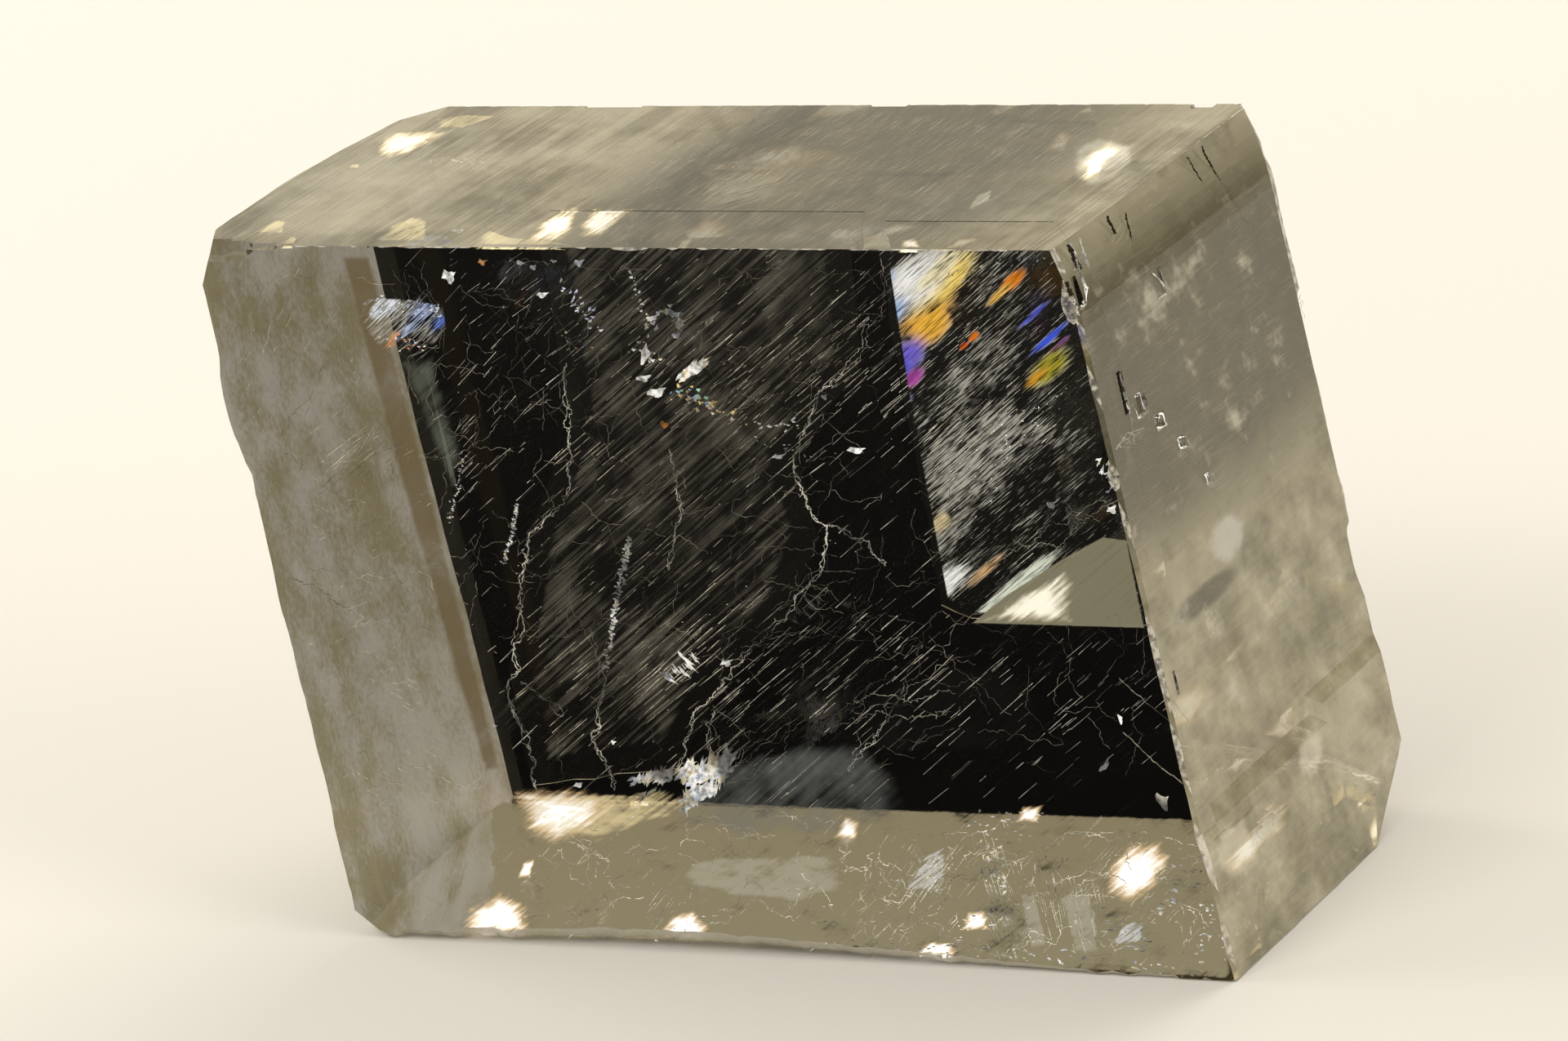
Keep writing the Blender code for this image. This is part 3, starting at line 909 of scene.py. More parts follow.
@dataclass
class CalciteBlock:
    """The block itself, from a merged copy of its solid."""

    cleavage: CleavageFrame
    solid: bpy.types.Object
    flat_limit: float = math.cos(math.radians(2.0))
    right_limit: float = 0.97
    left_limit: float = 0.75
    left_span: float = 6.0 * MM
    skin: float = 3.0 * MM
    haze: tuple[Patch, ...] = (
        Patch((1010, 370), 16.0, 6.0, strength=0.09),
        Patch((890, 480), 15.0, 7.0, strength=0.12),
        Patch((820, 590), 13.0, 6.0, strength=0.11),
        Patch((740, 690), 12.0, 5.0, strength=0.09),
        Patch((870, 745), 15.0, 4.0, strength=0.09),
        Patch((620, 860), 12.0, 6.0, strength=0.08),
        Patch((760, 820), 10.0, 5.0, strength=0.09),
        Patch((520, 520), 9.0, 12.0, strength=0.09),
        Patch((690, 360), 10.0, 4.0, strength=0.12),
        Patch((1010, 830), 12.0, 4.0, strength=0.1),
        Patch((1250, 850), 12.0, 3.0, strength=0.08),
    )
    # Painted shade over the middle of the top, and painted highlights at its left end and its far right
    # corner
    top_painted_shade_and_light: tuple[Patch, ...] = (
        Patch((1040, 210), 80.0, 34.0, "645e4a", 0.95),
        Patch((920, 185), 24.0, 5.0, "4e4936", 0.8),
        Patch((450, 240), 22.0, 16.0, "ded7bd", 0.6),
        Patch((1358, 195), 6.0, 4.0, "e9e3d0", 0.5),
    )
    # Painted shade over the middle of the right face and along a dark wedge, and painted highlights on pale
    # brushes and spots
    right_painted_shade_and_light: tuple[Patch, ...] = (
        Patch((1470, 420), 75.0, 22.0, "5d5744", 0.85),
        Patch((1462, 694), 13.0, 4.2, "c2bb9f", 0.7),
        Patch((1502, 660), 5.0, 3.2, "dddace", 0.85),
        Patch((1478, 728), 9.0, 1.9, "5a5440", 0.8),
        Patch((1640, 900), 12.0, 9.0, "d2cbb0", 0.5),
        Patch((1510, 1040), 5.0, 4.0, "e6dfc8", 0.7),
        Patch((1600, 925), 4.0, 3.0, "ece6d2", 0.8),
    )
    pit_limit: float = 12.0 * MM * MM
    splits: tuple[float, float] = (SPLIT_PLANE.depth, TONGUE_PLANE.depth)

    def copy_solid(self) -> bpy.types.Object:
        """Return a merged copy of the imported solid."""
        copy = bpy.data.objects.new("clear_calcite_block", self.solid.data.copy())
        copy.data.name = "clear_calcite_block"
        bpy.context.scene.collection.objects.link(copy)
        make_active(copy)
        bpy.ops.object.mode_set(mode="EDIT")
        bpy.ops.mesh.select_all(action="SELECT")
        bpy.ops.mesh.remove_doubles(threshold=0.00001)
        bpy.ops.object.mode_set(mode="OBJECT")
        bpy.ops.object.shade_flat()
        return copy

    def lies_on(self, place: Vector, side: Side) -> bool:
        """Return whether a place is within the skin of a face."""
        depth = (self.cleavage.origin(side) - place).dot(self.cleavage.normal(side))
        return depth < self.skin

    def dress(self, block: bpy.types.Object) -> None:
        """Give each face the finish of its kind of surface."""
        finishes = [
            ClearCleavage(),
            HazyCleavage(self.haze),
            MilkyCleavage("milky_top", Side.TOP, painted_light_and_shade=self.top_painted_shade_and_light),
            MilkyCleavage(
                "milky_right", Side.RIGHT, "cac3a7", "817a60", 0.12, 0.3, 0.42, cloud=6.0,
                streak=(9.0, 0.8), streak_share=0.25, painted_light_and_shade=self.right_painted_shade_and_light,
            ),
            FrostedFracture(),
            CrushedEdge(),
            # The walls of the open splits: painted near-black shade
            DarkCrack("split_rim_painted_shade", "14120e"),
        ]
        block.data.materials.clear()
        for finish in finishes:
            block.data.materials.append(finish.build(self.cleavage))
        for polygon in block.data.polygons:
            polygon.material_index = self.finish_of(polygon)

    def finish_of(self, polygon: bpy.types.MeshPolygon) -> int:
        """Return the number of the finish that a polygon's kind of surface has."""
        normal = polygon.normal
        front = normal.dot(self.cleavage.normal(Side.FRONT))
        right = normal.dot(self.cleavage.normal(Side.RIGHT))
        beyond = (polygon.center - self.cleavage.origin(Side.LEFT)).dot(
            -self.cleavage.normal(Side.RIGHT)
        )
        at_right = self.lies_on(polygon.center, Side.RIGHT)
        in_pit = at_right and polygon.area < self.pit_limit and abs(right) < 0.5
        depth = (self.cleavage.origin(Side.FRONT) - polygon.center).dot(
            self.cleavage.normal(Side.FRONT)
        )
        inside = self.cleavage.holds(polygon.center, 0.2) and not at_right
        if inside and any(abs(depth / MM - split) < 0.15 for split in self.splits):
            if abs(front) < 0.5:
                return 0 if abs(normal.z) > 0.9 else 6
        if in_pit and not self.lies_on(polygon.center, Side.FRONT):
            return 5
        if front < -self.flat_limit and self.lies_on(polygon.center, Side.BACK):
            return 1
        if abs(front) > self.flat_limit or normal.z < -self.flat_limit:
            return 0
        if normal.z > self.flat_limit:
            return 2
        if right > self.right_limit and at_right:
            return 3
        if -right > self.left_limit and beyond > -self.left_span:
            return 4
        return 5

    def build(self) -> bpy.types.Object:
        """Make the block, dress it and put it in the solid's place."""
        block = self.copy_solid()
        self.dress(block)
        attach(block, BODY)
        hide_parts(NODE)
        return block


@dataclass(frozen=True)
class Sheet:
    """A thin flat sheet inside the block, with its outline in pixels of the photograph.

    It thins out over its rim, so many millimetres wide; with none, over its outer part.
    """

    outline: Outline
    plane: Plane
    rim: float = 1.0
    thickness: float = 0.03

    def corners(self, cleavage: CleavageFrame) -> list[Vector]:
        """Return the places round the sheet."""
        camera = PhotoCamera(cleavage)
        return [camera.inside(pixel, self.plane) for pixel in self.outline]

    def build(self, cleavage: CleavageFrame) -> bpy.types.Object:
        """Return the sheet: an outline filled, set in from its rim and given a thickness."""
        corners = self.corners(cleavage)
        deselect()
        bpy.ops.mesh.primitive_circle_add(
            vertices=len(corners), radius=1.0, fill_type="NGON", location=(0.0, 0.0, 0.0)
        )
        piece = bpy.context.object
        for vertex, place in zip(piece.data.vertices, corners):
            vertex.co = place
        bpy.ops.object.mode_set(mode="EDIT")
        bpy.ops.mesh.select_all(action="SELECT")
        if self.rim:
            bpy.ops.mesh.inset(thickness=self.rim * MM, depth=0.0)
            bpy.ops.object.mode_set(mode="OBJECT")
            inner = {i for face in piece.data.polygons if face.select for i in face.vertices}
            depth = 1.0
        else:
            bpy.ops.mesh.poke()
            bpy.ops.object.mode_set(mode="OBJECT")
            inner = {len(corners)}
            depth = 2.2
        values = [depth * (index in inner) for index in range(len(piece.data.vertices))]
        rim = piece.data.attributes.new("rim", "FLOAT", "POINT")
        rim.data.foreach_set("value", values)
        bpy.ops.object.mode_set(mode="EDIT")
        bpy.ops.mesh.select_all(action="SELECT")
        bpy.ops.mesh.quads_convert_to_tris()
        bpy.ops.object.mode_set(mode="OBJECT")
        wall = piece.modifiers.new("thickness", "SOLIDIFY")
        wall.thickness = self.thickness * MM
        wall.offset = 0.0
        bpy.ops.object.modifier_apply(modifier=wall.name)
        bpy.ops.object.mode_set(mode="EDIT")
        bpy.ops.mesh.select_all(action="SELECT")
        bpy.ops.mesh.normals_make_consistent(inside=False)
        bpy.ops.object.mode_set(mode="OBJECT")
        return piece


@dataclass(frozen=True)
class GapSheet(Sheet):
    """A sheet in one of the block's open splits, with its outline in millimetres of a and b."""

    behind: float = 0.0

    def corners(self, cleavage: CleavageFrame) -> list[Vector]:
        """Return the places round the sheet, so far behind the front face along c."""
        return [cleavage.at(a, b, self.behind) for a, b in self.outline]


@dataclass
class SheetSet:
    """Sheets of one finish, joined into one piece."""

    name: str
    finish: Finish
    sheets: tuple[Sheet, ...]

    def build(self, cleavage: CleavageFrame) -> bpy.types.Object:
        """Return the sheets as one piece."""
        piece = join([sheet.build(cleavage) for sheet in self.sheets], self.name)
        return hand_over(piece, self.finish.build(cleavage))


@dataclass(frozen=True)
class Thread:
    """The line where a crack ends, as points in pixels of the photograph."""

    points: Outline
    plane: Plane = TONGUE_PLANE
    radius: float = 0.05
    jagged: float = 0.8
    halvings: int = 5


@dataclass(frozen=True)
class StriaField:
    """Short straight splits, strewn round a middle, that all run the same way."""

    middle: Pixel
    spread: Pixel
    count: int
    length: Pixel
    plane: Plane
    rise: float = 41.0
    radius: float = 0.026

    def threads(self, dice: random.Random) -> list[Thread]:
        """Return the splits as threads."""
        found = []
        for _ in range(self.count):
            u = dice.gauss(self.middle[0], self.spread[0])
            v = dice.gauss(self.middle[1], self.spread[1])
            angle = math.radians(self.rise + dice.gauss(0.0, 1.5))
            half = dice.uniform(*self.length) / 2.0
            x = half * math.cos(angle)
            y = half * math.sin(angle)
            radius = self.radius * dice.uniform(0.5, 1.3)
            found.append(Thread(((u - x, v + y), (u + x, v - y)), self.plane, radius, 0.04, 1))
        return found


@dataclass(frozen=True)
class CrackWeb:
    """A cobweb of hair cracks that wander through a part of the block."""

    left_top: Pixel
    right_foot: Pixel
    count: int
    depths: Pixel
    radius: float = 0.028
    parallel: Side = Side.FRONT
    through: Side = Side.FRONT

    def threads(self, dice: random.Random) -> list[Thread]:
        """Return the cracks as threads: each turns a little at every step."""
        found = []
        for _ in range(self.count):
            u = dice.uniform(self.left_top[0], self.right_foot[0])
            v = dice.uniform(self.left_top[1], self.right_foot[1])
            angle = dice.uniform(0.0, 2.0 * math.pi)
            points = [(u, v)]
            for _ in range(dice.randint(2, 5)):
                step = dice.uniform(12.0, 34.0)
                angle += dice.gauss(0.0, 0.55)
                u = min(max(u + step * math.cos(angle), self.left_top[0]), self.right_foot[0])
                v = min(max(v + step * math.sin(angle), self.left_top[1]), self.right_foot[1])
                points.append((u, v))
            plane = Plane(self.parallel, dice.uniform(*self.depths), self.through)
            radius = self.radius * dice.uniform(0.5, 1.4)
            found.append(Thread(tuple(points), plane, radius, 0.8, 3))
        return found


@dataclass
class ThreadSet:
    """Threads of one finish, drawn as thin ragged tubes and joined into one piece."""

    name: str
    finish: Finish
    threads: tuple[Thread, ...]
    seed: int
    fields: tuple[StriaField | CrackWeb, ...] = ()
    strands: int = 1

    def ragged_line(
        self, thread: Thread, cleavage: CleavageFrame, dice: random.Random
    ) -> list[Vector]:
        """Return the thread's places, with midpoints pushed aside at ever finer steps."""
        camera = PhotoCamera(cleavage)
        line = [camera.inside(pixel, thread.plane) for pixel in thread.points]
        for level in range(thread.halvings):
            rough = (0.1 + 0.045 * level) * thread.jagged
            finer = [line[0]]
            for start, end in zip(line, line[1:]):
                push = Vector(dice.gauss(0.0, 1.0) for _ in range(3)) * (end - start).length
                finer += [(start + end) / 2.0 + push * rough, end]
            line = finer
        return [place for place in line if cleavage.holds(place, 0.1)]

    def build(self, cleavage: CleavageFrame) -> bpy.types.Object:
        """Return all the threads as one mesh piece: closed tubes, thicker and thinner."""
        dice = random.Random(self.seed)
        threads = list(self.threads) * self.strands
        for field in self.fields:
            threads += field.threads(dice)
        curve = bpy.data.curves.new(self.name, "CURVE")
        curve.dimensions = "3D"
        curve.bevel_depth = MM
        curve.bevel_resolution = 0
        curve.use_fill_caps = True
        for thread in threads:
            line = self.ragged_line(thread, cleavage, dice)
            if len(line) < 2:
                continue
            spline = curve.splines.new("POLY")
            spline.points.add(len(line) - 1)
            for point, place in zip(spline.points, line):
                point.co = (*place, 1.0)
                point.radius = thread.radius * dice.uniform(0.3, 1.4)
        piece = bpy.data.objects.new(self.name, curve)
        bpy.context.scene.collection.objects.link(piece)
        make_active(piece)
        bpy.ops.object.convert(target="MESH")
        piece = bpy.context.object
        piece.data.name = self.name
        return hand_over(piece, self.finish.build(cleavage))


@dataclass(frozen=True)
class Flake:
    """One splinter: its middle, its width and height in millimetres, its turn and its tint."""

    pixel: Pixel
    wide: float
    tall: float
    turn: float = 0.0
    tint: str = "ffffff"
    plane: Plane = TONGUE_PLANE
    tilt: float = 0.08


@dataclass(frozen=True)
class FlakeGroup:
    """Small flakes strewn along a line of pixels: how many, how far aside and how large."""

    path: Outline
    count: int
    aside: float
    size: float
    long: float = 1.6
    turn: float = 0.0
    plane: Plane = TONGUE_PLANE
    tints: tuple[str, ...] = ("ffffff", "ffffff", "f3e6c8", "dfe6f4")
    wobble: float = 22.0

    def flakes(self, dice: random.Random) -> list[Flake]:
        """Return the group's flakes."""
        found = []
        for index in range(self.count):
            t = (index + dice.random()) / self.count * (len(self.path) - 1)
            step = min(int(t), len(self.path) - 2)
            start, end = self.path[step], self.path[step + 1]
            share = t - step
            u = start[0] + (end[0] - start[0]) * share + dice.gauss(0.0, self.aside)
            v = start[1] + (end[1] - start[1]) * share + dice.gauss(0.0, self.aside)
            size = self.size * dice.uniform(0.4, 1.3)
            stretch = math.sqrt(self.long)
            turn = self.turn + dice.gauss(0.0, self.wobble)
            tint = dice.choice(self.tints)
            found.append(
                Flake((u, v), size * stretch, size / stretch, turn, tint, self.plane, 0.2)
            )
        return found


@dataclass
class FlakeSet:
    """Splinters of split calcite, modelled once and copied, turned and made ragged."""

    name: str
    finish: Finish
    singles: tuple[Flake, ...]
    groups: tuple[FlakeGroup, ...]
    seed: int
    sides: int = 14

    def model_flake(self) -> bpy.types.Mesh:
        """Return one flake 1 wide and 1 tall: a plate with a fan of teeth on its upper side."""
        deselect()
        bpy.ops.mesh.primitive_circle_add(
            vertices=self.sides, radius=0.5, fill_type="NGON", location=(0.0, 0.0, 0.0)
        )
        flake = bpy.context.object
        bpy.ops.object.mode_set(mode="EDIT")
        bpy.ops.mesh.select_all(action="SELECT")
        bpy.ops.mesh.extrude_region_move(TRANSFORM_OT_translate={"value": (0.0, 0.0, 0.05)})
        bpy.ops.mesh.select_all(action="SELECT")
        bpy.ops.mesh.normals_make_consistent(inside=False)
        bpy.ops.object.mode_set(mode="OBJECT")
        mesh = flake.data
        bpy.data.objects.remove(flake)
        for vertex in mesh.vertices:
            x, y, _ = vertex.co
            if y > 0.0:
                tooth = round(math.atan2(y, x) * self.sides / (2.0 * math.pi)) % 2
                vertex.co.y *= 1.0 if tooth else 0.45
            else:
                vertex.co.x *= 0.55
        return mesh

    def lay(
        self, flake: Flake, cleavage: CleavageFrame, model: bpy.types.Mesh, seed: float
    ) -> bpy.types.Object | None:
        """Return a copy of the flake in its place, ragged, tinted and parallel to its plane."""
        place = PhotoCamera(cleavage).inside(flake.pixel, flake.plane)
        if not cleavage.holds(place, max(0.3, 0.4 * max(flake.wide, flake.tall))):
            return None
        outward = cleavage.normal(flake.plane.parallel)
        lean = Vector((noise.noise((seed, 0.3, 0.7)), noise.noise((0.3, seed, 0.7)), 0.0))
        outward = (outward + lean * flake.tilt * 2.0).normalized()
        level = cleavage.level(flake.plane.parallel)
        level = (level - outward * level.dot(outward)).normalized()
        facing = Matrix((level, outward.cross(level), outward)).transposed().to_4x4()
        turned = Matrix.Rotation(math.radians(flake.turn), 4, "Z")
        size = Matrix.Diagonal((flake.wide * MM, flake.tall * MM, 0.6 * MM, 1.0))
        mesh = model.copy()
        for vertex in mesh.vertices:
            rough = 1.0 + 0.5 * noise.noise(Vector((*vertex.co.xy, 0.0)) * 3.4 + Vector((0, 0, seed)))
            vertex.co.x *= rough
            vertex.co.y *= rough
        mesh.transform(Matrix.Translation(place) @ facing @ turned @ size)
        tint = mesh.attributes.new("tint", "FLOAT_COLOR", "POINT")
        tint.data.foreach_set("color", linear(flake.tint) * len(mesh.vertices))
        thing = bpy.data.objects.new("flake", mesh)
        bpy.context.scene.collection.objects.link(thing)
        return thing

    def build(self, cleavage: CleavageFrame) -> bpy.types.Object:
        """Return all the flakes as one mesh piece."""
        dice = random.Random(self.seed)
        model = self.model_flake()
        flakes = list(self.singles)
        for group in self.groups:
            flakes += group.flakes(dice)
        laid = [
            self.lay(flake, cleavage, model, 1.7 * index + 0.37)
            for index, flake in enumerate(flakes)
        ]
        bpy.data.meshes.remove(model)
        piece = join([thing for thing in laid if thing], self.name)
        return hand_over(piece, self.finish.build(cleavage))


@dataclass
class InnerFlaws:
    """Everything that shines inside the block."""

    cleavage: CleavageFrame
    silver: tuple[Patch, ...] = (
        Patch((1195, 560), 13.0, 6.5),
        Patch((1150, 650), 8.0, 3.5, strength=0.9),
        Patch((1185, 465), 10.0, 4.0, strength=0.7),
        Patch((1250, 500), 6.0, 2.0, strength=0.5),
        Patch((1165, 710), 5.0, 2.2),
        Patch((1225, 330), 12.0, 3.0, strength=0.5),
        Patch((1230, 392), 8.0, 3.0, strength=0.35),
        Patch((1290, 620), 9.0, 1.6, strength=0.4),
        Patch((1305, 545), 4.0, 2.4, strength=0.3),
    )
    film: tuple[Patch, ...] = (
        Patch((1130, 372), 7.5, 4.4, "d8a040", 0.6),
        Patch((1152, 345), 7.0, 2.6, "ffe07a", 0.9),
        Patch((1139, 402), 3.8, 2.2, "ffc248", 1.1),
        Patch((1118, 348), 6.4, 3.2, "ffffff", 1.7),
        Patch((1150, 331), 5.0, 1.2, "f6ebc4", 0.9),
        Patch((1090, 385), 3.2, 1.8, "a9c6f2"),
        Patch((1082, 345), 2.6, 1.0, "c9d8f4", 0.7),
        Patch((1108, 440), 4.0, 2.4, "7a6ae0", 0.9),
        Patch((1096, 461), 2.8, 1.8, "4a58ea", 0.9),
        Patch((1118, 463), 2.4, 1.1, "b44fae", 0.9),
        Patch((1104, 494), 2.2, 1.0, "5a55c0", 0.75),
        Patch((1103, 513), 1.8, 0.9, "4bb39b"),
        Patch((1240, 344), 3.0, 1.1, "f08c1c", 0.8),
        Patch((1222, 362), 2.6, 0.7, "f0c060", 0.75),
        Patch((1192, 412), 1.2, 0.7, "d8761e", 0.6),
        Patch((1180, 424), 1.0, 0.6, "d05a20", 0.6),
        Patch((1266, 385), 3.6, 0.5, "5a62d8", 0.6),
        Patch((1284, 415), 4.4, 0.6, "3f5ae0", 0.7),
        Patch((1294, 425), 3.0, 0.5, "8c3f98", 0.6),
        Patch((1284, 450), 4.4, 2.0, "a8a030", 0.65),
        Patch((1268, 463), 2.4, 0.8, "d8a030", 0.65),
        Patch((1152, 640), 2.0, 1.3, "d8c49c", 0.9),
        Patch((1160, 712), 3.8, 1.8, "ffffff", 0.95),
        Patch((1207, 698), 4.2, 0.8, "d8b080", 0.65),
        Patch((1238, 724), 9.5, 1.2, "e6eedd"),
        Patch((1286, 711), 3.6, 0.8, "8a6ad0", 0.9),
    )
    foil_silver: tuple[Patch, ...] = (
        Patch((480, 385), 5.0, 3.4),
        Patch((525, 398), 4.0, 3.0, strength=0.8),
    )
    foil_film: tuple[Patch, ...] = (
        Patch((520, 380), 3.4, 1.6, "a9b8de", 0.5),
        Patch((470, 376), 3.2, 1.6, "f0f3fb", 0.7),
        Patch((538, 395), 1.8, 1.0, "5f7fd6", 0.5),
        Patch((482, 416), 2.2, 0.8, "e09a5c", 0.5),
        Patch((500, 404), 2.6, 0.8, "b9c6e6", 0.5),
    )

    def split_sheets(self) -> list[SheetSet]:
        """Return the sheets of air in the two open splits, and the painted reflection and highlight of the
        mirror in one of them.
        """
        split = SplitCleavage("split_cleavage", SPLIT_PLANE, self.silver, self.film)
        ring = (
            (5.8, 0.5), (25.5, 0.5), (27.3, 23.0), (28.4, 47.2), (25.4, 48.9),
            (3.5, 49.0), (3.1, 38.6), (4.7, 28.9), (2.9, 19.7),
        )
        tongue = (
            (32.0, 0.5), (34.8, 17.7), (46.7, 30.7), (46.1, 40.7), (53.0, 51.0), (64.1, 60.0),
            (72.0, 70.5), (91.4, 73.4), (91.2, 60.5), (83.9, 42.0), (74.3, 27.5), (72.0, 0.5),
        )
        quad = ((1188, 764), (1232, 728), (1300, 684), (1350, 657), (1380, 661), (1402, 770))
        glow = ((1190, 765), (1238, 733), (1296, 701), (1313, 690), (1326, 716), (1318, 765))
        grey = Veil("grey_lamellae", "6c675c", 1.0, 0.5, streak=(18.0, 0.5), middle=0.6)
        # The mirror is painted: a beige glowing sheet, and a white glow where it catches a lamp
        mirror = Veil(
            "beige_mirror", "857f69", 1.0, 0.95, cloud_share=0.5, middle=0.36, sharp=0.2, shrink=0.3
        )
        return [
            SheetSet("split_plane", split, (GapSheet(ring, SPLIT_PLANE, 0.6, behind=9.5),)),
            SheetSet("tongue_veil", grey, (GapSheet(tongue, TONGUE_PLANE, 3.0, behind=12.7),)),
            SheetSet("mirror_quad", mirror, (Sheet(quad, MIRROR_PLANE, 0.25),)),
            SheetSet("mirror_glow", Glow("mirror_glow", "f7f0de", "c9bfa6", 1.2, ragged=3.4),
                     (Sheet(glow, GLOW_PLANE, 0.0),)),
        ]

    def foot_sheets(self) -> list[SheetSet]:
        """Return what shines on the foot, seen through the front: sheets that glow with painted light, and
        painted highlights where splits catch a lamp.
        """
        glows = (
            ((622, 966), (700, 962), (770, 976), (740, 1020), (676, 1040), (636, 1016)),
            ((560, 1146), (570, 1112), (612, 1088), (650, 1108), (655, 1147)),
            ((632, 1078), (640, 1055), (656, 1050), (650, 1076)),
            ((1015, 1030), (1035, 998), (1055, 1004), (1050, 1030)),
            ((800, 1150), (820, 1120), (850, 1112), (875, 1138), (870, 1152)),
            ((1238, 1010), (1250, 988), (1278, 986), (1272, 1008)),
            ((1350, 1100), (1352, 1062), (1380, 1030), (1425, 1026), (1438, 1050), (1420, 1090),
             (1385, 1116)),
            ((1174, 1142), (1184, 1116), (1208, 1112), (1214, 1140)),
            ((1116, 1168), (1135, 1152), (1172, 1154), (1176, 1172)),
        )
        clouds = (
            ((800, 1052), (850, 1042), (1050, 1038), (1062, 1095), (1000, 1114), (880, 1106),
             (812, 1085)),
            ((1243, 1080), (1266, 1076), (1290, 1176), (1262, 1180)),
            ((1290, 1088), (1336, 1080), (1352, 1140), (1352, 1178), (1314, 1180)),
        )
        cream = (
            ((610, 968), (840, 960), (900, 976), (860, 1000), (740, 1036), (630, 1040)),
        )
        smoke = (
            ((780, 1020), (800, 970), (880, 925), (990, 890), (1080, 895), (1135, 945),
             (1135, 1010), (1060, 1040), (900, 1042)),
        )
        dusk = (
            ((590, 978), (1000, 985), (1500, 1000), (1530, 1100), (1515, 1198), (1000, 1165),
             (590, 1150)),
        )
        fan = (((1098, 1100), (1130, 1042), (1162, 1026), (1168, 1060), (1150, 1102)),
               ((1355, 1162), (1372, 1126), (1408, 1122), (1402, 1158)))
        return [
            self.set_of("foot_dusk", Veil("foot_dusk", "92886d", 1.0, 0.9, streak=(9.0, 0.6),
                        cloud=7.0, cloud_share=0.7, middle=0.44, sharp=0.12), dusk,
                        FOOT_HAZE_PLANE, 2.0),
            self.set_of("foot_glows", Glow("sunlit_split", fringe="dcbb8c", ragged=2.8), glows, ON_FOOT, 0.0),
            self.set_of("foot_clouds", Veil("beige_cloud", "aaa38f", 1.0, 0.9, cloud=5.0,
                        cloud_share=0.8, middle=0.44, sharp=0.12), clouds, ON_FOOT, 0.0),
            self.set_of("foot_cream", Veil("cream_split", "dccb9f", 1.0, 0.9, cloud_share=0.6,
                        cloud=4.0, middle=0.5), cream, ON_FOOT, 0.0),
            self.set_of("foot_smoke", Veil("smoke_veil", "70716d", 1.0, 0.45, cloud=7.0,
                        cloud_share=0.7, middle=0.5, sharp=0.26), smoke, NEAR_FRONT, 0.0),
            self.set_of("foot_silver", Veil("silver_brush", "c8c8c4", 1.0, 0.9, cloud_share=0.3,
                        streak=(3.0, 0.35), middle=0.5, sharp=0.08), fan, ON_FOOT, 0.0),
        ]

    def top_sheets(self) -> list[SheetSet]:
        """Return what shines under the top: painted highlights, and sheets that glow with painted light."""
        glows = (
            ((640, 300), (658, 273), (689, 253), (713, 251), (704, 272), (702, 285), (684, 299)),
            ((723, 253), (787, 253), (764, 267), (749, 279), (735, 293), (713, 297), (704, 291),
             (709, 273)),
            ((456, 195), (463, 172), (482, 160), (558, 159), (534, 174), (500, 189), (473, 197)),
            ((1098, 305), (1104, 294), (1122, 291), (1130, 304)),
            ((1322, 226), (1318, 202), (1340, 180), (1362, 168), (1378, 180), (1352, 206),
             (1345, 224)),
        )
        cream = (
            ((523, 160), (524, 146), (560, 138), (630, 139), (601, 148), (564, 160)),
            ((561, 301), (583, 277), (620, 290), (700, 296), (720, 302)),
            ((451, 300), (470, 275), (505, 258), (530, 264), (532, 300)),
            ((341, 300), (359, 288), (366, 290), (362, 300)),
            ((301, 287), (340, 266), (356, 268), (350, 288)),
            ((424, 206), (430, 201), (442, 200), (440, 206)),
        )
        haze = (
            ((1305, 225), (1305, 175), (1345, 158), (1398, 172), (1404, 202), (1370, 228),
             (1330, 238)),
            ((1180, 262), (1195, 236), (1220, 228), (1215, 246)),
        )
        top = Side.TOP
        return [
            self.set_of("top_glows", Glow("sunlit_top", power=3.6, side=top, ragged=3.4), glows,
                        UNDER_TOP, 0.0),
            self.set_of("top_cream", Veil("cream_top", "ecdcae", 1.7, 0.85, top, (8.0, 0.6), 4.0,
                        middle=0.48), cream, UNDER_TOP, 0.0),
            self.set_of("top_haze", Veil("bright_haze", "f2efe4", 1.6, 0.6, top, (6.0, 0.5), 5.0,
                        middle=0.46, sharp=0.24), haze, UNDER_TOP, 0.0),
        ]

    def window_sheets(self) -> list[SheetSet]:
        """Return what is seen through the front against the dark behind the block: sheets that glow with
        painted light.
        """
        band = (((412, 309), (456, 309), (543, 645), (621, 950), (590, 950), (500, 640)),)
        foil = (((436, 384), (446, 365), (500, 366), (543, 374), (547, 402), (530, 424),
                 (520, 446), (468, 430), (452, 410)),)
        column = (((470, 430), (540, 420), (580, 560), (560, 640), (535, 600)),)
        double = Veil("doubled_edge", "6d5f45", 1.0, 0.62, cloud_share=0.9, middle=0.4, shrink=0.3)
        green = Veil("grey_column", "6d7064", 1.0, 0.5, cloud_share=0.7, middle=0.5, sharp=0.24)
        silver = SplitCleavage("silver_foil", FOIL_PLANE, self.foil_silver, self.foil_film)
        return [
            self.set_of("rear_edge_double", double, band, BEFORE_LEFT, 1.3),
            self.set_of("foil", silver, foil, FOIL_PLANE, 0.7),
            self.set_of("foil_column", green, column, FOIL_PLANE, 3.0),
        ]

    def set_of(
        self, name: str, finish: Finish, outlines: tuple[Outline, ...], plane: Plane, rim: float
    ) -> SheetSet:
        """Return sheets of one finish on one plane."""
        return SheetSet(name, finish, tuple(Sheet(outline, plane, rim) for outline in outlines))

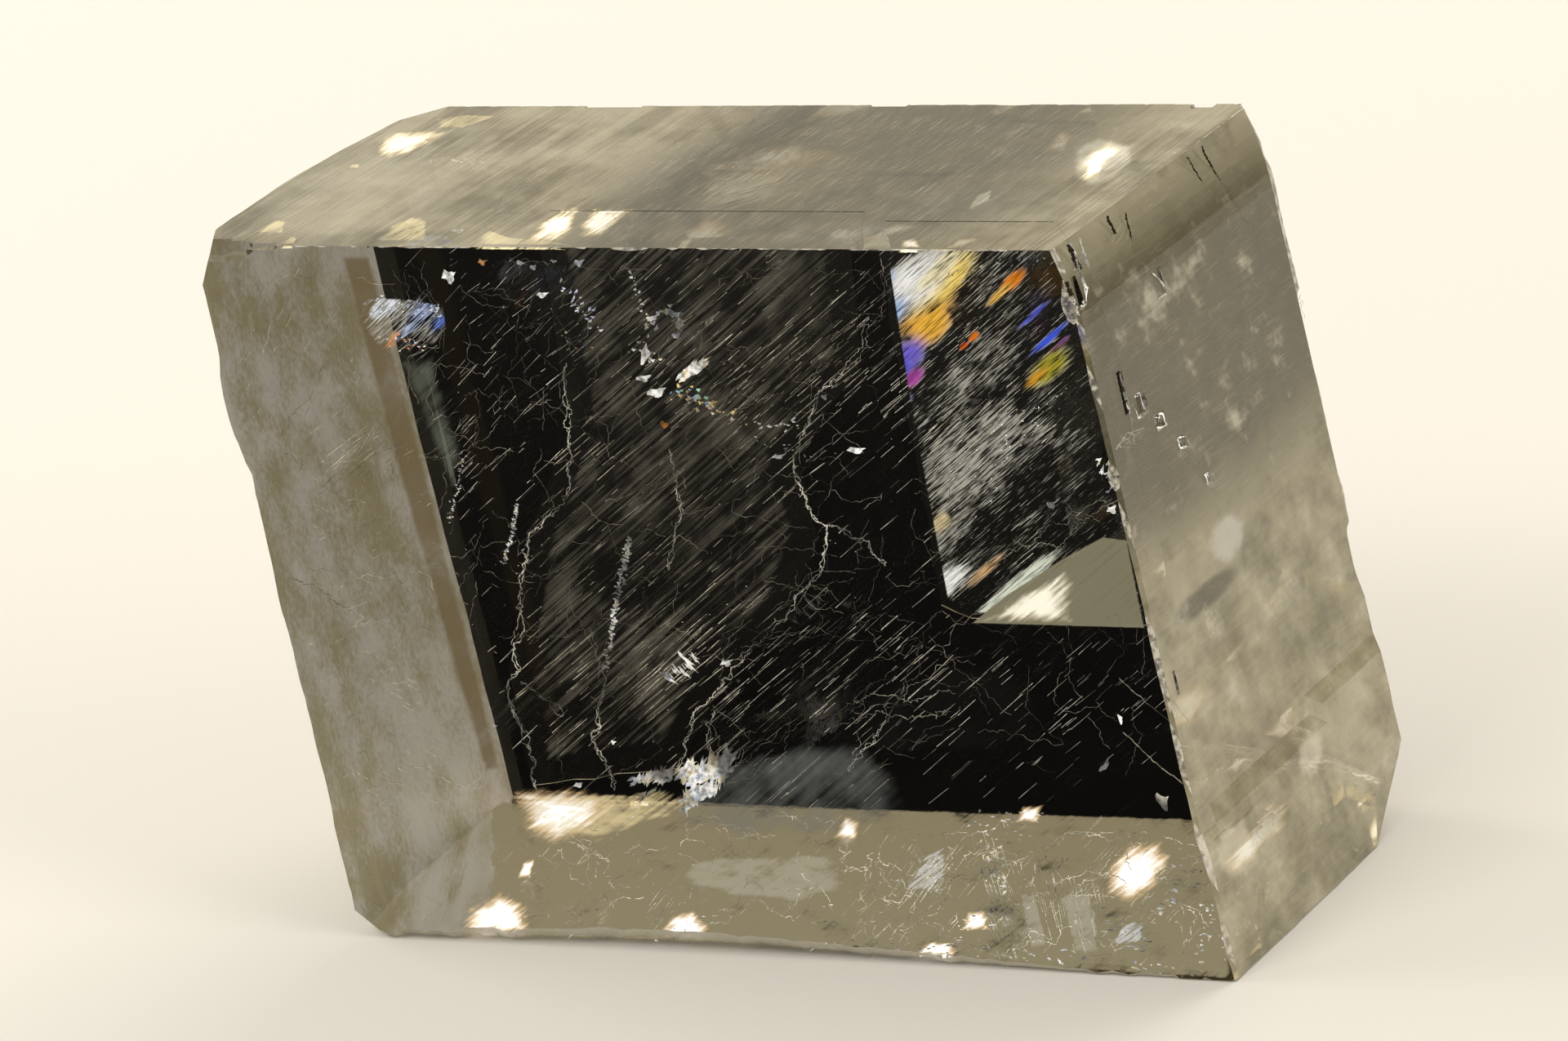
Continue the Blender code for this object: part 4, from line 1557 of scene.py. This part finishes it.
    def thread_sets(self) -> list[ThreadSet]:
        """Return the crack threads and webs."""
        bright = Splinter("bright_crack", "e4dfd2", 0.9)
        faint = Splinter("faint_crack", "a59f90", 0.8)
        deep = Plane(Side.FRONT, 22.0, Side.FRONT)
        shallow = Plane(Side.FRONT, 5.0, Side.FRONT)
        main_cracks = (
            Thread(((1064, 397), (1033, 453), (1015, 473), (1002, 479), (995, 504), (984, 530),
                    (974, 555), (972, 570)), radius=0.045),
            Thread(((972, 570), (979, 593), (987, 619), (1000, 639), (1013, 644), (1011, 657),
                    (1007, 698), (990, 718)), radius=0.055),
            Thread(((990, 718), (972, 732), (962, 760), (920, 791), (897, 817), (882, 842)),
                   radius=0.03),
            Thread(((882, 842), (864, 863), (849, 873), (844, 901), (836, 911), (841, 919),
                    (828, 939)), radius=0.04),
            Thread(((1013, 644), (1025, 644), (1043, 660), (1064, 662), (1071, 680), (1084, 693))),
            Thread(((693, 445), (690, 463), (695, 499), (696, 530), (698, 555), (694, 606),
                    (665, 638), (647, 659)), radius=0.045),
            Thread(((647, 659), (642, 697), (637, 735), (629, 791), (637, 822), (622, 837),
                    (622, 855), (629, 870)), radius=0.055),
            Thread(((629, 870), (647, 924), (657, 934), (650, 952), (657, 967))),
            Thread(((736, 822), (742, 835), (736, 855), (731, 876), (736, 891), (724, 898),
                    (729, 914), (742, 934), (752, 968))),
            Thread(((819, 550), (821, 565), (829, 586), (833, 619), (834, 634), (826, 650),
                    (824, 670), (819, 698)), radius=0.03),
            Thread(((874, 870), (869, 893), (867, 919)), radius=0.03),
            Thread(((637, 835), (662, 853), (690, 876)), radius=0.03),
            Thread(((1130, 790), (1110, 835), (1080, 890), (1058, 918), (1040, 945)), radius=0.03),
        )
        faint_cracks = (
            Thread(((1030, 870), (1070, 850), (1110, 858), (1150, 845), (1170, 850)), shallow),
            Thread(((1040, 882), (1080, 870), (1120, 880), (1160, 868)), shallow),
            Thread(((1229, 690), (1280, 650), (1320, 635), (1370, 612)), SPLIT_PLANE, 0.05),
            Thread(((1240, 660), (1290, 668), (1330, 640)), SPLIT_PLANE, 0.05),
            Thread(((1370, 830), (1405, 862), (1440, 888)), shallow, 0.06, 0.2),
            Thread(((1375, 897), (1410, 930), (1448, 960)), shallow, 0.06, 0.2),
            Thread(((352, 707), (394, 723), (432, 745), (481, 765)), NEAR_FRONT, 0.06),
            Thread(((394, 597), (430, 566), (470, 540)), NEAR_FRONT, 0.05, 0.2),
            Thread(((430, 580), (460, 556), (490, 545)), NEAR_FRONT, 0.04, 0.2),
            Thread(((568, 484), (620, 492), (675, 490)), deep, 0.05),
            Thread(((1078, 316), (1084, 345), (1089, 371)), deep, 0.05),
        )
        dark_top = Plane(Side.TOP, 0.4, Side.TOP)
        dark_right = Plane(Side.RIGHT, 0.4, Side.RIGHT)
        dark_cracks = (
            Thread(((451, 300), (503, 279), (546, 267), (574, 261), (604, 261), (638, 261)),
                   dark_top, 0.1, 0.15),
            Thread(((606, 259), (615, 239), (632, 221)), dark_top, 0.08, 0.15),
            Thread(((479, 300), (515, 282), (546, 267)), dark_top, 0.08, 0.15),
            Thread(((1472, 173), (1478, 190), (1487, 206), (1500, 228), (1516, 254), (1521, 267),
                    (1535, 278)), dark_right, 0.15, 0.25),
            Thread(((1535, 278), (1541, 302), (1546, 324)), dark_right, 0.1, 0.25),
            Thread(((1455, 192), (1468, 212), (1484, 241), (1506, 271), (1516, 295), (1529, 324)),
                   dark_right, 0.1, 0.25),
            Thread(((1358, 264), (1368, 286)), dark_right, 0.2, 0.2),
            Thread(((1380, 260), (1386, 286), (1392, 312)), dark_right, 0.14, 0.2),
            Thread(((1593, 857), (1594, 876), (1596, 896)), dark_right, 0.13),
            Thread(((1628, 833), (1636, 868), (1632, 900)), dark_right, 0.13),
            Thread(((1570, 911), (1553, 922), (1549, 939)), dark_right, 0.1),
            Thread(((1485, 1032), (1516, 1004), (1547, 974)), dark_right, 0.15, 0.2),
            Thread(((1619, 958), (1624, 980), (1628, 1001)), dark_right, 0.13),
            Thread(((1545, 1080), (1544, 1105), (1548, 1130)), dark_right, 0.11),
            # Thick dark threads in the pits of the right face: painted shade in their slots
            Thread(((1308, 296), (1318, 318), (1324, 330)), dark_right, 0.35, 0.3),
            Thread(((1308, 345), (1314, 362)), dark_right, 0.35, 0.3),
            Thread(((1318, 368), (1324, 384)), dark_right, 0.3, 0.3),
            Thread(((1370, 456), (1376, 482), (1382, 510)), dark_right, 0.3, 0.2),
            Thread(((1386, 512), (1396, 560)), dark_right, 0.1, 0.2),
        )
        # Painted highlights: white rims round the pits of the right face, as glowing threads
        glints = (
            Thread(((1385, 484), (1396, 481), (1407, 508), (1395, 512), (1385, 484)), ON_RIGHT),
            Thread(((1412, 508), (1424, 506), (1430, 521), (1418, 524), (1412, 508)), ON_RIGHT),
            Thread(((1442, 536), (1452, 534), (1458, 546), (1447, 549), (1442, 536)), ON_RIGHT),
            Thread(((1476, 582), (1486, 580), (1491, 592), (1481, 595), (1476, 582)), ON_RIGHT),
            Thread(((1372, 452), (1380, 480), (1385, 512), (1390, 545)), ON_RIGHT, 0.07),
            Thread(((1366, 550), (1384, 530), (1401, 524)), ON_RIGHT, 0.09),
            Thread(((1368, 546), (1400, 548)), ON_RIGHT, 0.06),
            Thread(((1400, 322), (1410, 345), (1414, 372), (1433, 356), (1422, 332)), ON_RIGHT),
            Thread(((1404, 326), (1418, 340), (1433, 356)), ON_RIGHT, 0.04),
            Thread(((1310, 292), (1318, 310), (1322, 330), (1332, 352), (1326, 386)), ON_RIGHT, 0.1),
            Thread(((1322, 290), (1330, 312), (1334, 328)), ON_RIGHT, 0.1),
            Thread(((1303, 340), (1312, 362), (1322, 386)), ON_RIGHT, 0.1),
        )
        right_lines = (
            Thread(((1553, 787), (1590, 745), (1628, 713)), dark_right, 0.09, 0.2),
            Thread(((1484, 401), (1510, 404), (1541, 423)), dark_right, 0.05),
            Thread(((1481, 461), (1505, 470), (1529, 477)), dark_right, 0.05),
            Thread(((1468, 477), (1487, 508), (1503, 538)), dark_right, 0.05),
            Thread(((1500, 560), (1540, 545), (1575, 560)), dark_right, 0.05),
            Thread(((1490, 610), (1530, 590), (1580, 600)), dark_right, 0.05),
        )
        rear = BEFORE_BACK
        window_stria = (
            StriaField((940, 440), (130, 80), 240, (6, 44), rear),
            StriaField((880, 480), (40, 24), 60, (4, 20), rear),
            StriaField((790, 620), (90, 90), 150, (6, 44), rear),
            StriaField((795, 820), (50, 30), 60, (14, 90), rear, 41.0, 0.04),
            StriaField((880, 840), (160, 70), 220, (6, 50), rear),
            StriaField((560, 500), (50, 110), 90, (6, 36), rear, 48.0),
            StriaField((1050, 430), (50, 70), 90, (6, 40), deep),
            StriaField((1130, 830), (90, 70), 80, (6, 34), deep, 41.0, 0.02),
            StriaField((1320, 860), (80, 60), 80, (6, 30), deep, 41.0, 0.018),
            StriaField((700, 400), (90, 50), 70, (4, 30), deep, 36.0),
            StriaField((1295, 522), (14, 12), 10, (5, 14), SPLIT_PLANE),
            StriaField((1303, 556), (12, 10), 8, (5, 14), SPLIT_PLANE),
            StriaField((1190, 520), (45, 70), 110, (5, 30), SPLIT_PLANE),
            StriaField((1230, 400), (50, 50), 60, (5, 26), SPLIT_PLANE),
            StriaField((1240, 700), (50, 26), 50, (10, 60), SPLIT_PLANE),
        )
        strip_stria = (
            StriaField((440, 560), (22, 26), 16, (20, 70), NEAR_FRONT, 38.0),
            StriaField((455, 555), (20, 20), 10, (16, 50), NEAR_FRONT, 62.0),
            StriaField((430, 700), (60, 170), 120, (3, 16), NEAR_FRONT, 30.0),
            StriaField((500, 900), (50, 90), 90, (3, 16), NEAR_FRONT, -30.0),
            StriaField((360, 450), (40, 70), 60, (3, 14), NEAR_FRONT, 60.0),
        )
        strip_web = (
            CrackWeb((320, 340), (500, 700), 16, (1.0, 3.0), 0.025),
            CrackWeb((420, 700), (590, 1000), 16, (1.0, 3.0), 0.025),
        )
        foot_stria = (
            StriaField((812, 1110), (14, 18), 8, (20, 60), ON_FOOT, 52.0),
            StriaField((1040, 1128), (28, 20), 18, (16, 60), ON_FOOT, 44.0),
            StriaField((900, 1090), (110, 30), 16, (8, 40), ON_FOOT, 46.0),
            StriaField((1190, 1090), (70, 40), 50, (6, 30), ON_FOOT, 50.0),
            StriaField((1390, 1080), (50, 60), 110, (8, 46), ON_FOOT, 48.0),
            StriaField((1132, 1066), (18, 20), 50, (14, 44), ON_FOOT, 56.0, 0.035),
            StriaField((1225, 1075), (9, 46), 40, (10, 44), ON_FOOT, 108.0, 0.03),
            StriaField((1315, 1120), (22, 34), 40, (10, 50), ON_FOOT, 104.0, 0.03),
            StriaField((700, 1080), (50, 40), 14, (8, 40), ON_FOOT, 46.0),
            CrackWeb((640, 1000), (1060, 1130), 40, (0.5, 0.8), 0.035, Side.BOTTOM),
            CrackWeb((1060, 1020), (1480, 1170), 60, (0.5, 0.8), 0.04, Side.BOTTOM),
        )
        top_stria = (
            StriaField((1000, 225), (150, 50), 60, (10, 70), UNDER_TOP, 36.0, 0.025),
            StriaField((520, 235), (110, 40), 24, (8, 50), UNDER_TOP, 36.0, 0.025),
            StriaField((1180, 270), (60, 20), 16, (8, 40), UNDER_TOP, 36.0, 0.025),
            StriaField((1500, 640), (60, 200), 20, (10, 60), UNDER_RIGHT, 42.0, 0.025),
        )
        webs = (
            CrackWeb((480, 330), (1080, 780), 120, (4.0, 40.0), 0.022),
            CrackWeb((640, 700), (1400, 960), 80, (4.0, 36.0), 0.022),
            CrackWeb((500, 320), (760, 560), 36, (6.0, 30.0), 0.022),
            CrackWeb((1120, 560), (1380, 700), 12, (8.9, 9.0)),
        )
        right_webs = (
            CrackWeb((1400, 330), (1600, 700), 60, (0.2, 1.0), 0.035, Side.RIGHT, Side.RIGHT),
            CrackWeb((1470, 760), (1690, 1080), 40, (0.2, 1.0), 0.035, Side.RIGHT, Side.RIGHT),
            CrackWeb((420, 170), (760, 290), 30, (0.2, 1.0), 0.03, Side.TOP, Side.TOP),
            CrackWeb((760, 150), (1380, 280), 40, (0.2, 1.0), 0.025, Side.TOP, Side.TOP),
        )
        return [
            ThreadSet("bright_cracks", bright, main_cracks, 3, (), 2),
            ThreadSet("faint_cracks", faint, faint_cracks, 4, webs),
            ThreadSet("dark_cracks", DarkCrack(), dark_cracks, 5),
            ThreadSet("window_striae", Splinter("pale_stria", "d6d1c4", 1.5), (), 6, window_stria),
            ThreadSet("strip_striae", Splinter("strip_stria", "d9d1bb", 0.9), (), 16, strip_stria),
            ThreadSet("strip_cracks", Splinter("strip_crack", "c9c0a8", 1.0), (), 17, strip_web),
            ThreadSet("foot_striae", Splinter("bright_stria", "e4dfd0", 1.3), (), 7, foot_stria),
            ThreadSet("top_striae", Splinter("cream_stria", "bdb59b", 0.6), (), 8, top_stria),
            ThreadSet("right_glints", Splinter("right_glint", "f4f2ea", 1.5), glints, 18, (), 2),
            ThreadSet("right_lines", Splinter("right_line", "c9c2aa", 0.5), right_lines, 9,
                      right_webs),
        ]

    def flake_sets(self) -> list[FlakeSet]:
        """Return the splinters."""
        gold = ("f6e7bd", "f0c878", "fff6e2")
        cool = ("cdd9f6", "dfe3ea", "b9c2dd", "ffffff")
        rainbow = ("9fc6e8", "e8b8d0", "f0d890", "a8d8b8", "d8d8e8")
        window = (
            Flake((551, 338), 2.0, 2.2, 20.0),
            Flake((591, 321), 1.2, 0.9, 10.0, "f2b274"),
            Flake((637, 322), 1.3, 0.8, -15.0),
            Flake((653, 327), 1.0, 0.8, 30.0),
            Flake((678, 320), 1.0, 0.5),
            Flake((709, 322), 1.4, 1.1, 20.0, "dfe6f4"),
            Flake((664, 361), 1.9, 0.9, 10.0),
            Flake((789, 463), 2.3, 1.0, 15.0),
            Flake((804, 480), 3.2, 1.4, 18.0),
            Flake((790, 434), 1.4, 3.2, -20.0),
            Flake((814, 520), 1.3, 1.0, 0.0, "f0a04c"),
            Flake((954, 559), 2.0, 0.6, 12.0),
            Flake((1049, 551), 3.2, 0.9, 6.0),
            Flake((1009, 486), 1.0, 0.9, 20.0),
            Flake((890, 812), 1.6, 1.0, 20.0),
            Flake((606, 889), 0.7, 0.5),
            Flake((751, 909), 0.8, 0.6),
            Flake((709, 961), 1.4, 0.9, 20.0),
            Flake((1287, 618), 1.3, 1.3, 30.0, plane=SPLIT_PLANE),
            Flake((1361, 624), 1.4, 1.3, 30.0, plane=SPLIT_PLANE),
            Flake((1353, 937), 2.2, 0.8, 60.0),
            Flake((1372, 880), 0.7, 1.4, 10.0),
        )
        window_groups = (
            FlakeGroup(((798, 404), (801, 385), (820, 381), (833, 392), (830, 412)), 34, 3.0, 0.75),
            FlakeGroup(((838, 460), (858, 446)), 24, 3.0, 1.5, 3.4, 40.0, wobble=6.0),
            FlakeGroup(((776, 955), (824, 947)), 34, 3.0, 1.3, 3.6, 50.0, wobble=20.0),
            FlakeGroup(((840, 948), (890, 934)), 60, 6.0, 1.7, 3.6, 56.0, wobble=22.0),
            FlakeGroup(((838, 980), (868, 964)), 36, 5.0, 1.4, 3.2, 52.0, wobble=20.0),
            FlakeGroup(((782, 974), (808, 968)), 8, 4.0, 0.9, 4.0, 50.0, tints=("8f8a7c",)),
            FlakeGroup(((822, 832), (850, 806)), 14, 4.0, 1.0, 5.0, -38.0, wobble=14.0),
            FlakeGroup(((771, 330), (784, 372), (797, 415)), 22, 2.0, 0.4, 1.2, 60.0),
            FlakeGroup(((778, 420), (804, 448)), 12, 5.0, 0.5),
            FlakeGroup(((825, 475), (868, 496)), 30, 6.0, 0.5, tints=rainbow),
            FlakeGroup(((846, 488), (902, 512)), 22, 6.0, 0.5, tints=gold),
            FlakeGroup(((924, 520), (980, 520)), 20, 2.5, 0.42, 2.4, 8.0),
            FlakeGroup(((924, 531), (1000, 560)), 12, 5.0, 0.3, 2.4, 12.0),
            FlakeGroup(((690, 355), (735, 400)), 26, 6.0, 0.45, 2.0, 40.0, tints=cool),
            FlakeGroup(((686, 404), (724, 426)), 14, 4.0, 0.35, tints=rainbow),
            FlakeGroup(((772, 659), (762, 702), (752, 760), (740, 822)), 150, 2.4, 0.45, 1.6),
            FlakeGroup(((634, 616), (628, 650), (616, 690)), 80, 1.6, 0.32, 1.6),
            FlakeGroup(((568, 555), (560, 600), (550, 639)), 60, 1.8, 0.25, 1.6),
            FlakeGroup(((600, 340), (1000, 340), (1040, 600), (700, 900), (600, 500)), 90, 50.0, 0.14),
            FlakeGroup(((1170, 620), (1290, 480)), 70, 18.0, 0.22, 2.0, 41.0, SPLIT_PLANE),
            FlakeGroup(((1150, 330), (1270, 320)), 30, 8.0, 0.3, 2.0, 41.0, SPLIT_PLANE),
        )
        foil = (
            FlakeGroup(((450, 378), (500, 372), (540, 384)), 50, 5.0, 0.4, 2.4, 35.0,
                       FOIL_PLANE, cool),
            FlakeGroup(((475, 415), (520, 425)), 24, 6.0, 0.3, 2.0, 30.0, FOIL_PLANE,
                       ("f0a870", "cdd9f6", "e8e4da")),
        )
        foot_groups = (
            FlakeGroup(((1355, 1124), (1411, 1162)), 46, 9.0, 0.5, 2.0, 20.0, ON_FOOT, cool),
            FlakeGroup(((1438, 1084), (1475, 1050)), 16, 3.0, 0.8, 3.0, 42.0, ON_FOOT),
            FlakeGroup(((1414, 1122), (1443, 1096)), 14, 4.0, 0.7, 2.6, 42.0, ON_FOOT),
            FlakeGroup(((1175, 1138), (1213, 1118)), 18, 5.0, 0.7, 1.6, 40.0, ON_FOOT),
            FlakeGroup(((1116, 1168), (1175, 1156)), 22, 4.0, 0.8, 1.6, 30.0, ON_FOOT),
            FlakeGroup(((808, 1150), (868, 1122)), 22, 6.0, 0.7, 1.6, 40.0, ON_FOOT),
            FlakeGroup(((1462, 1185), (1490, 1110)), 20, 4.0, 0.7, 1.6, 80.0, ON_FOOT),
            FlakeGroup(((990, 1152), (1200, 1166), (1440, 1184)), 70, 5.0, 0.6, 3.0, 50.0, ON_FOOT),
            FlakeGroup(((640, 1040), (1000, 1080), (1440, 1100)), 60, 26.0, 0.22, 2.0, 40.0, ON_FOOT),
            FlakeGroup(((1106, 1094), (1162, 1088)), 40, 7.0, 1.0, 8.0, 52.0, ON_FOOT,
                       wobble=14.0),
            FlakeGroup(((1128, 1050), (1160, 1060)), 26, 8.0, 0.9, 7.0, 64.0, ON_FOOT,
                       wobble=10.0),
            FlakeGroup(((1225, 990), (1240, 1010), (1272, 1000)), 50, 12.0, 0.5, 2.0, 30.0,
                       ON_FOOT),
            FlakeGroup(((1440, 980), (1490, 1080), (1505, 1180)), 90, 22.0, 0.5, 2.4, 50.0,
                       ON_FOOT),
            FlakeGroup(((1200, 1000), (1222, 1080), (1232, 1150)), 60, 7.0, 0.6, 2.6, 96.0,
                       ON_FOOT),
            FlakeGroup(((1200, 1052), (1244, 1120)), 30, 9.0, 0.4, 4.0, 60.0, ON_FOOT),
            FlakeGroup(((1345, 562), (1364, 600)), 30, 3.0, 1.0, 2.4, 60.0, EDGE_CHIP_PLANE),
        )
        foot = (
            Flake((1203, 1047), 2.0, 1.3, 30.0, "eda35c", ON_FOOT),
            Flake((1239, 1111), 1.8, 2.4, 10.0, "e6d06c", ON_FOOT),
            Flake((1417, 1084), 1.4, 3.4, 10.0, "e0ad76", ON_FOOT),
            Flake((1424, 980), 1.8, 2.4, 20.0, "e9e4d6"),
            Flake((709, 1062), 1.6, 1.4, 10.0, "c6d66a", ON_FOOT),
        )
        top = (
            Flake((604, 170), 2.0, 0.9, 20.0, "f3e2b0", UNDER_TOP),
            Flake((583, 238), 2.0, 1.1, 10.0, "f0b860", UNDER_TOP),
            Flake((449, 178), 1.6, 2.2, 40.0, "e59a55", UNDER_TOP),
            Flake((836, 207), 2.2, 1.4, 20.0, "f0d8a0", UNDER_TOP),
            Flake((814, 230), 2.2, 2.6, 10.0, "cdd9f6", UNDER_TOP),
            Flake((1206, 236), 3.0, 1.6, 10.0, "fff1dc", UNDER_TOP),
            Flake((1249, 200), 2.8, 1.8, 10.0, "e9e6de", UNDER_TOP),
            Flake((1292, 197), 1.4, 1.6, 30.0, "ffffff", UNDER_TOP),
            Flake((1469, 134), 3.0, 2.4, 30.0, "dcd8ce", UNDER_TOP),
            Flake((1152, 301), 2.4, 1.4, 10.0, "f3dca0", UNDER_TOP),
            Flake((1417, 343), 5.6, 3.2, 60.0, "d9d6cc", UNDER_RIGHT),
            Flake((1384, 540), 3.4, 2.6, 60.0, "e9e6de", UNDER_RIGHT),
            Flake((1640, 694), 4.0, 1.6, 80.0, "e0dccf", UNDER_RIGHT),
        )
        top_groups = (
            FlakeGroup(((512, 190), (555, 196), (598, 203)), 40, 3.0, 0.5, 1.6, 20.0, UNDER_TOP),
            FlakeGroup(((790, 210), (822, 192)), 26, 3.0, 0.6, 1.6, 20.0, UNDER_TOP, gold),
            FlakeGroup(((900, 206), (914, 197)), 10, 2.0, 0.45, 1.6, 20.0, UNDER_TOP, cool),
            FlakeGroup(((926, 160), (944, 186), (960, 188)), 14, 4.0, 0.4, 1.6, 20.0, UNDER_TOP),
            FlakeGroup(((858, 250), (872, 250)), 8, 2.0, 0.4, 1.6, 20.0, UNDER_TOP),
            FlakeGroup(((1121, 265), (1185, 247)), 34, 5.0, 0.45, 2.0, 25.0, UNDER_TOP, cool),
            FlakeGroup(((400, 230), (900, 200), (1300, 240)), 120, 28.0, 0.18, 1.8, 30.0, UNDER_TOP),
        )
        tinted = Splinter("tinted_splinter", "ffffff", 1.0, True)
        return [
            FlakeSet("window_flakes", tinted, window, window_groups, 11),
            FlakeSet("foil_flakes", tinted, (), foil, 13),
            FlakeSet("foot_flakes", tinted, foot, foot_groups, 14),
            FlakeSet("top_flakes", tinted, top, top_groups, 15),
        ]

    def build(self) -> None:
        """Build every flaw and report it."""
        sheets = [
            *self.split_sheets(),
            *self.foot_sheets(),
            *self.top_sheets(),
            *self.window_sheets(),
        ]
        for maker in [*sheets, *self.thread_sets(), *self.flake_sets()]:
            piece = maker.build(self.cleavage)
            LOG.info("built %s with %d faces", piece.name, len(piece.data.polygons))


@dataclass
class Studio:
    """A pale floor, a soft sky and large soft lamps."""

    floor_half: float = 4.0
    floor_gap: float = 0.2 * MM
    light_bounces: int = 8

    def build_floor(self) -> None:
        """Lay the floor that the block stands on."""
        deselect()
        place = (0.0, 0.0, -self.floor_gap)
        bpy.ops.mesh.primitive_plane_add(size=2.0 * self.floor_half, location=place)
        floor = bpy.context.object
        floor.name = "studio_floor"
        material, tree = new_material("pale_floor")
        shader = tree.add("BsdfPrincipled", Base_Color=linear("d8d6d2"))
        shader.inputs["Roughness"].default_value = 0.9
        tree.add("OutputMaterial", Surface=shader.outputs[0])
        floor.data.materials.append(material)
        # The block was photographed over black: seen through it, the room below is dark
        floor.visible_transmission = False

    def build_sky(self) -> None:
        """Make a sky that is warm grey above and dark below the horizon."""
        world = bpy.data.worlds.new("studio_sky")
        bpy.context.scene.world = world
        world.use_nodes = True
        tree = Tree(world.node_tree)
        place = tree.add("TexCoord").outputs["Generated"]
        parts = tree.add("SeparateXYZ", Vector=place)
        height = tree.spread(parts.outputs["Z"], -0.05, 0.25)
        behind = tree.spread(parts.outputs["Y"], -0.6, 0.2, 0.12, 1.0)
        above = tree.spread(parts.outputs["Z"], 0.3, 0.8, 0.0, 1.0)
        share = tree.math("MULTIPLY", height, tree.math("MAXIMUM", behind, above))
        color = tree.mix(share, linear("060606"), linear("d6d0c2"))
        backdrop = tree.add("Background", Color=color)
        tree.add("OutputWorld", Surface=backdrop.outputs[0])

    def build_lamp(
        self, name: str, place: Vector, size: float, power: float, color: str = "ffffff"
    ) -> None:
        """Hang one square soft lamp that faces the block."""
        data = bpy.data.lights.new(name, "AREA")
        data.shape = "SQUARE"
        data.size = size
        data.energy = power
        data.color = linear(color)[:3]
        lamp = bpy.data.objects.new(name, data)
        bpy.context.scene.collection.objects.link(lamp)
        lamp.location = place
        aim = Vector((0.0, 0.0, 0.04)) - place
        lamp.rotation_euler = aim.to_track_quat("-Z", "Y").to_euler()

    def build(self) -> None:
        """Build the whole studio."""
        self.build_floor()
        self.build_sky()
        self.build_lamp("key_lamp", Vector((-0.9, -0.9, 1.5)), 0.9, 12.0, "fffaf2")
        self.build_lamp("back_lamp", Vector((0.3, 1.4, 1.2)), 1.0, 16.0, "fff6ea")
        self.build_lamp("left_lamp", Vector((-1.6, 0.3, 0.9)), 1.2, 18.0, "fff8ee")
        self.build_lamp("right_lamp", Vector((1.5, -0.2, 0.8)), 0.8, 9.0, "fffaf2")
        scene = bpy.context.scene
        scene.view_settings.view_transform = "Standard"
        scene.cycles.transparent_max_bounces = self.light_bounces
        scene.cycles.max_bounces = self.light_bounces
        scene.cycles.transmission_bounces = self.light_bounces
        scene.cycles.glossy_bounces = self.light_bounces


def main() -> None:
    """Build the block, what shines inside it, the camera and the studio."""
    logging.basicConfig(level=logging.INFO, format="%(message)s")
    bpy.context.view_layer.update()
    low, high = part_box(NODE)
    top_middle = Vector(((low.x + high.x) / 2.0, (low.y + high.y) / 2.0, high.z))
    cleavage = CleavageFrame(top_middle + CORNER_IN_BOX)
    PhotoCamera(cleavage).build()
    Studio().build()
    block = CalciteBlock(cleavage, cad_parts[NODE]).build()
    LOG.info("built %s with %d faces", block.name, len(block.data.polygons))
    InnerFlaws(cleavage).build()


if __name__ == "__main__":
    main()
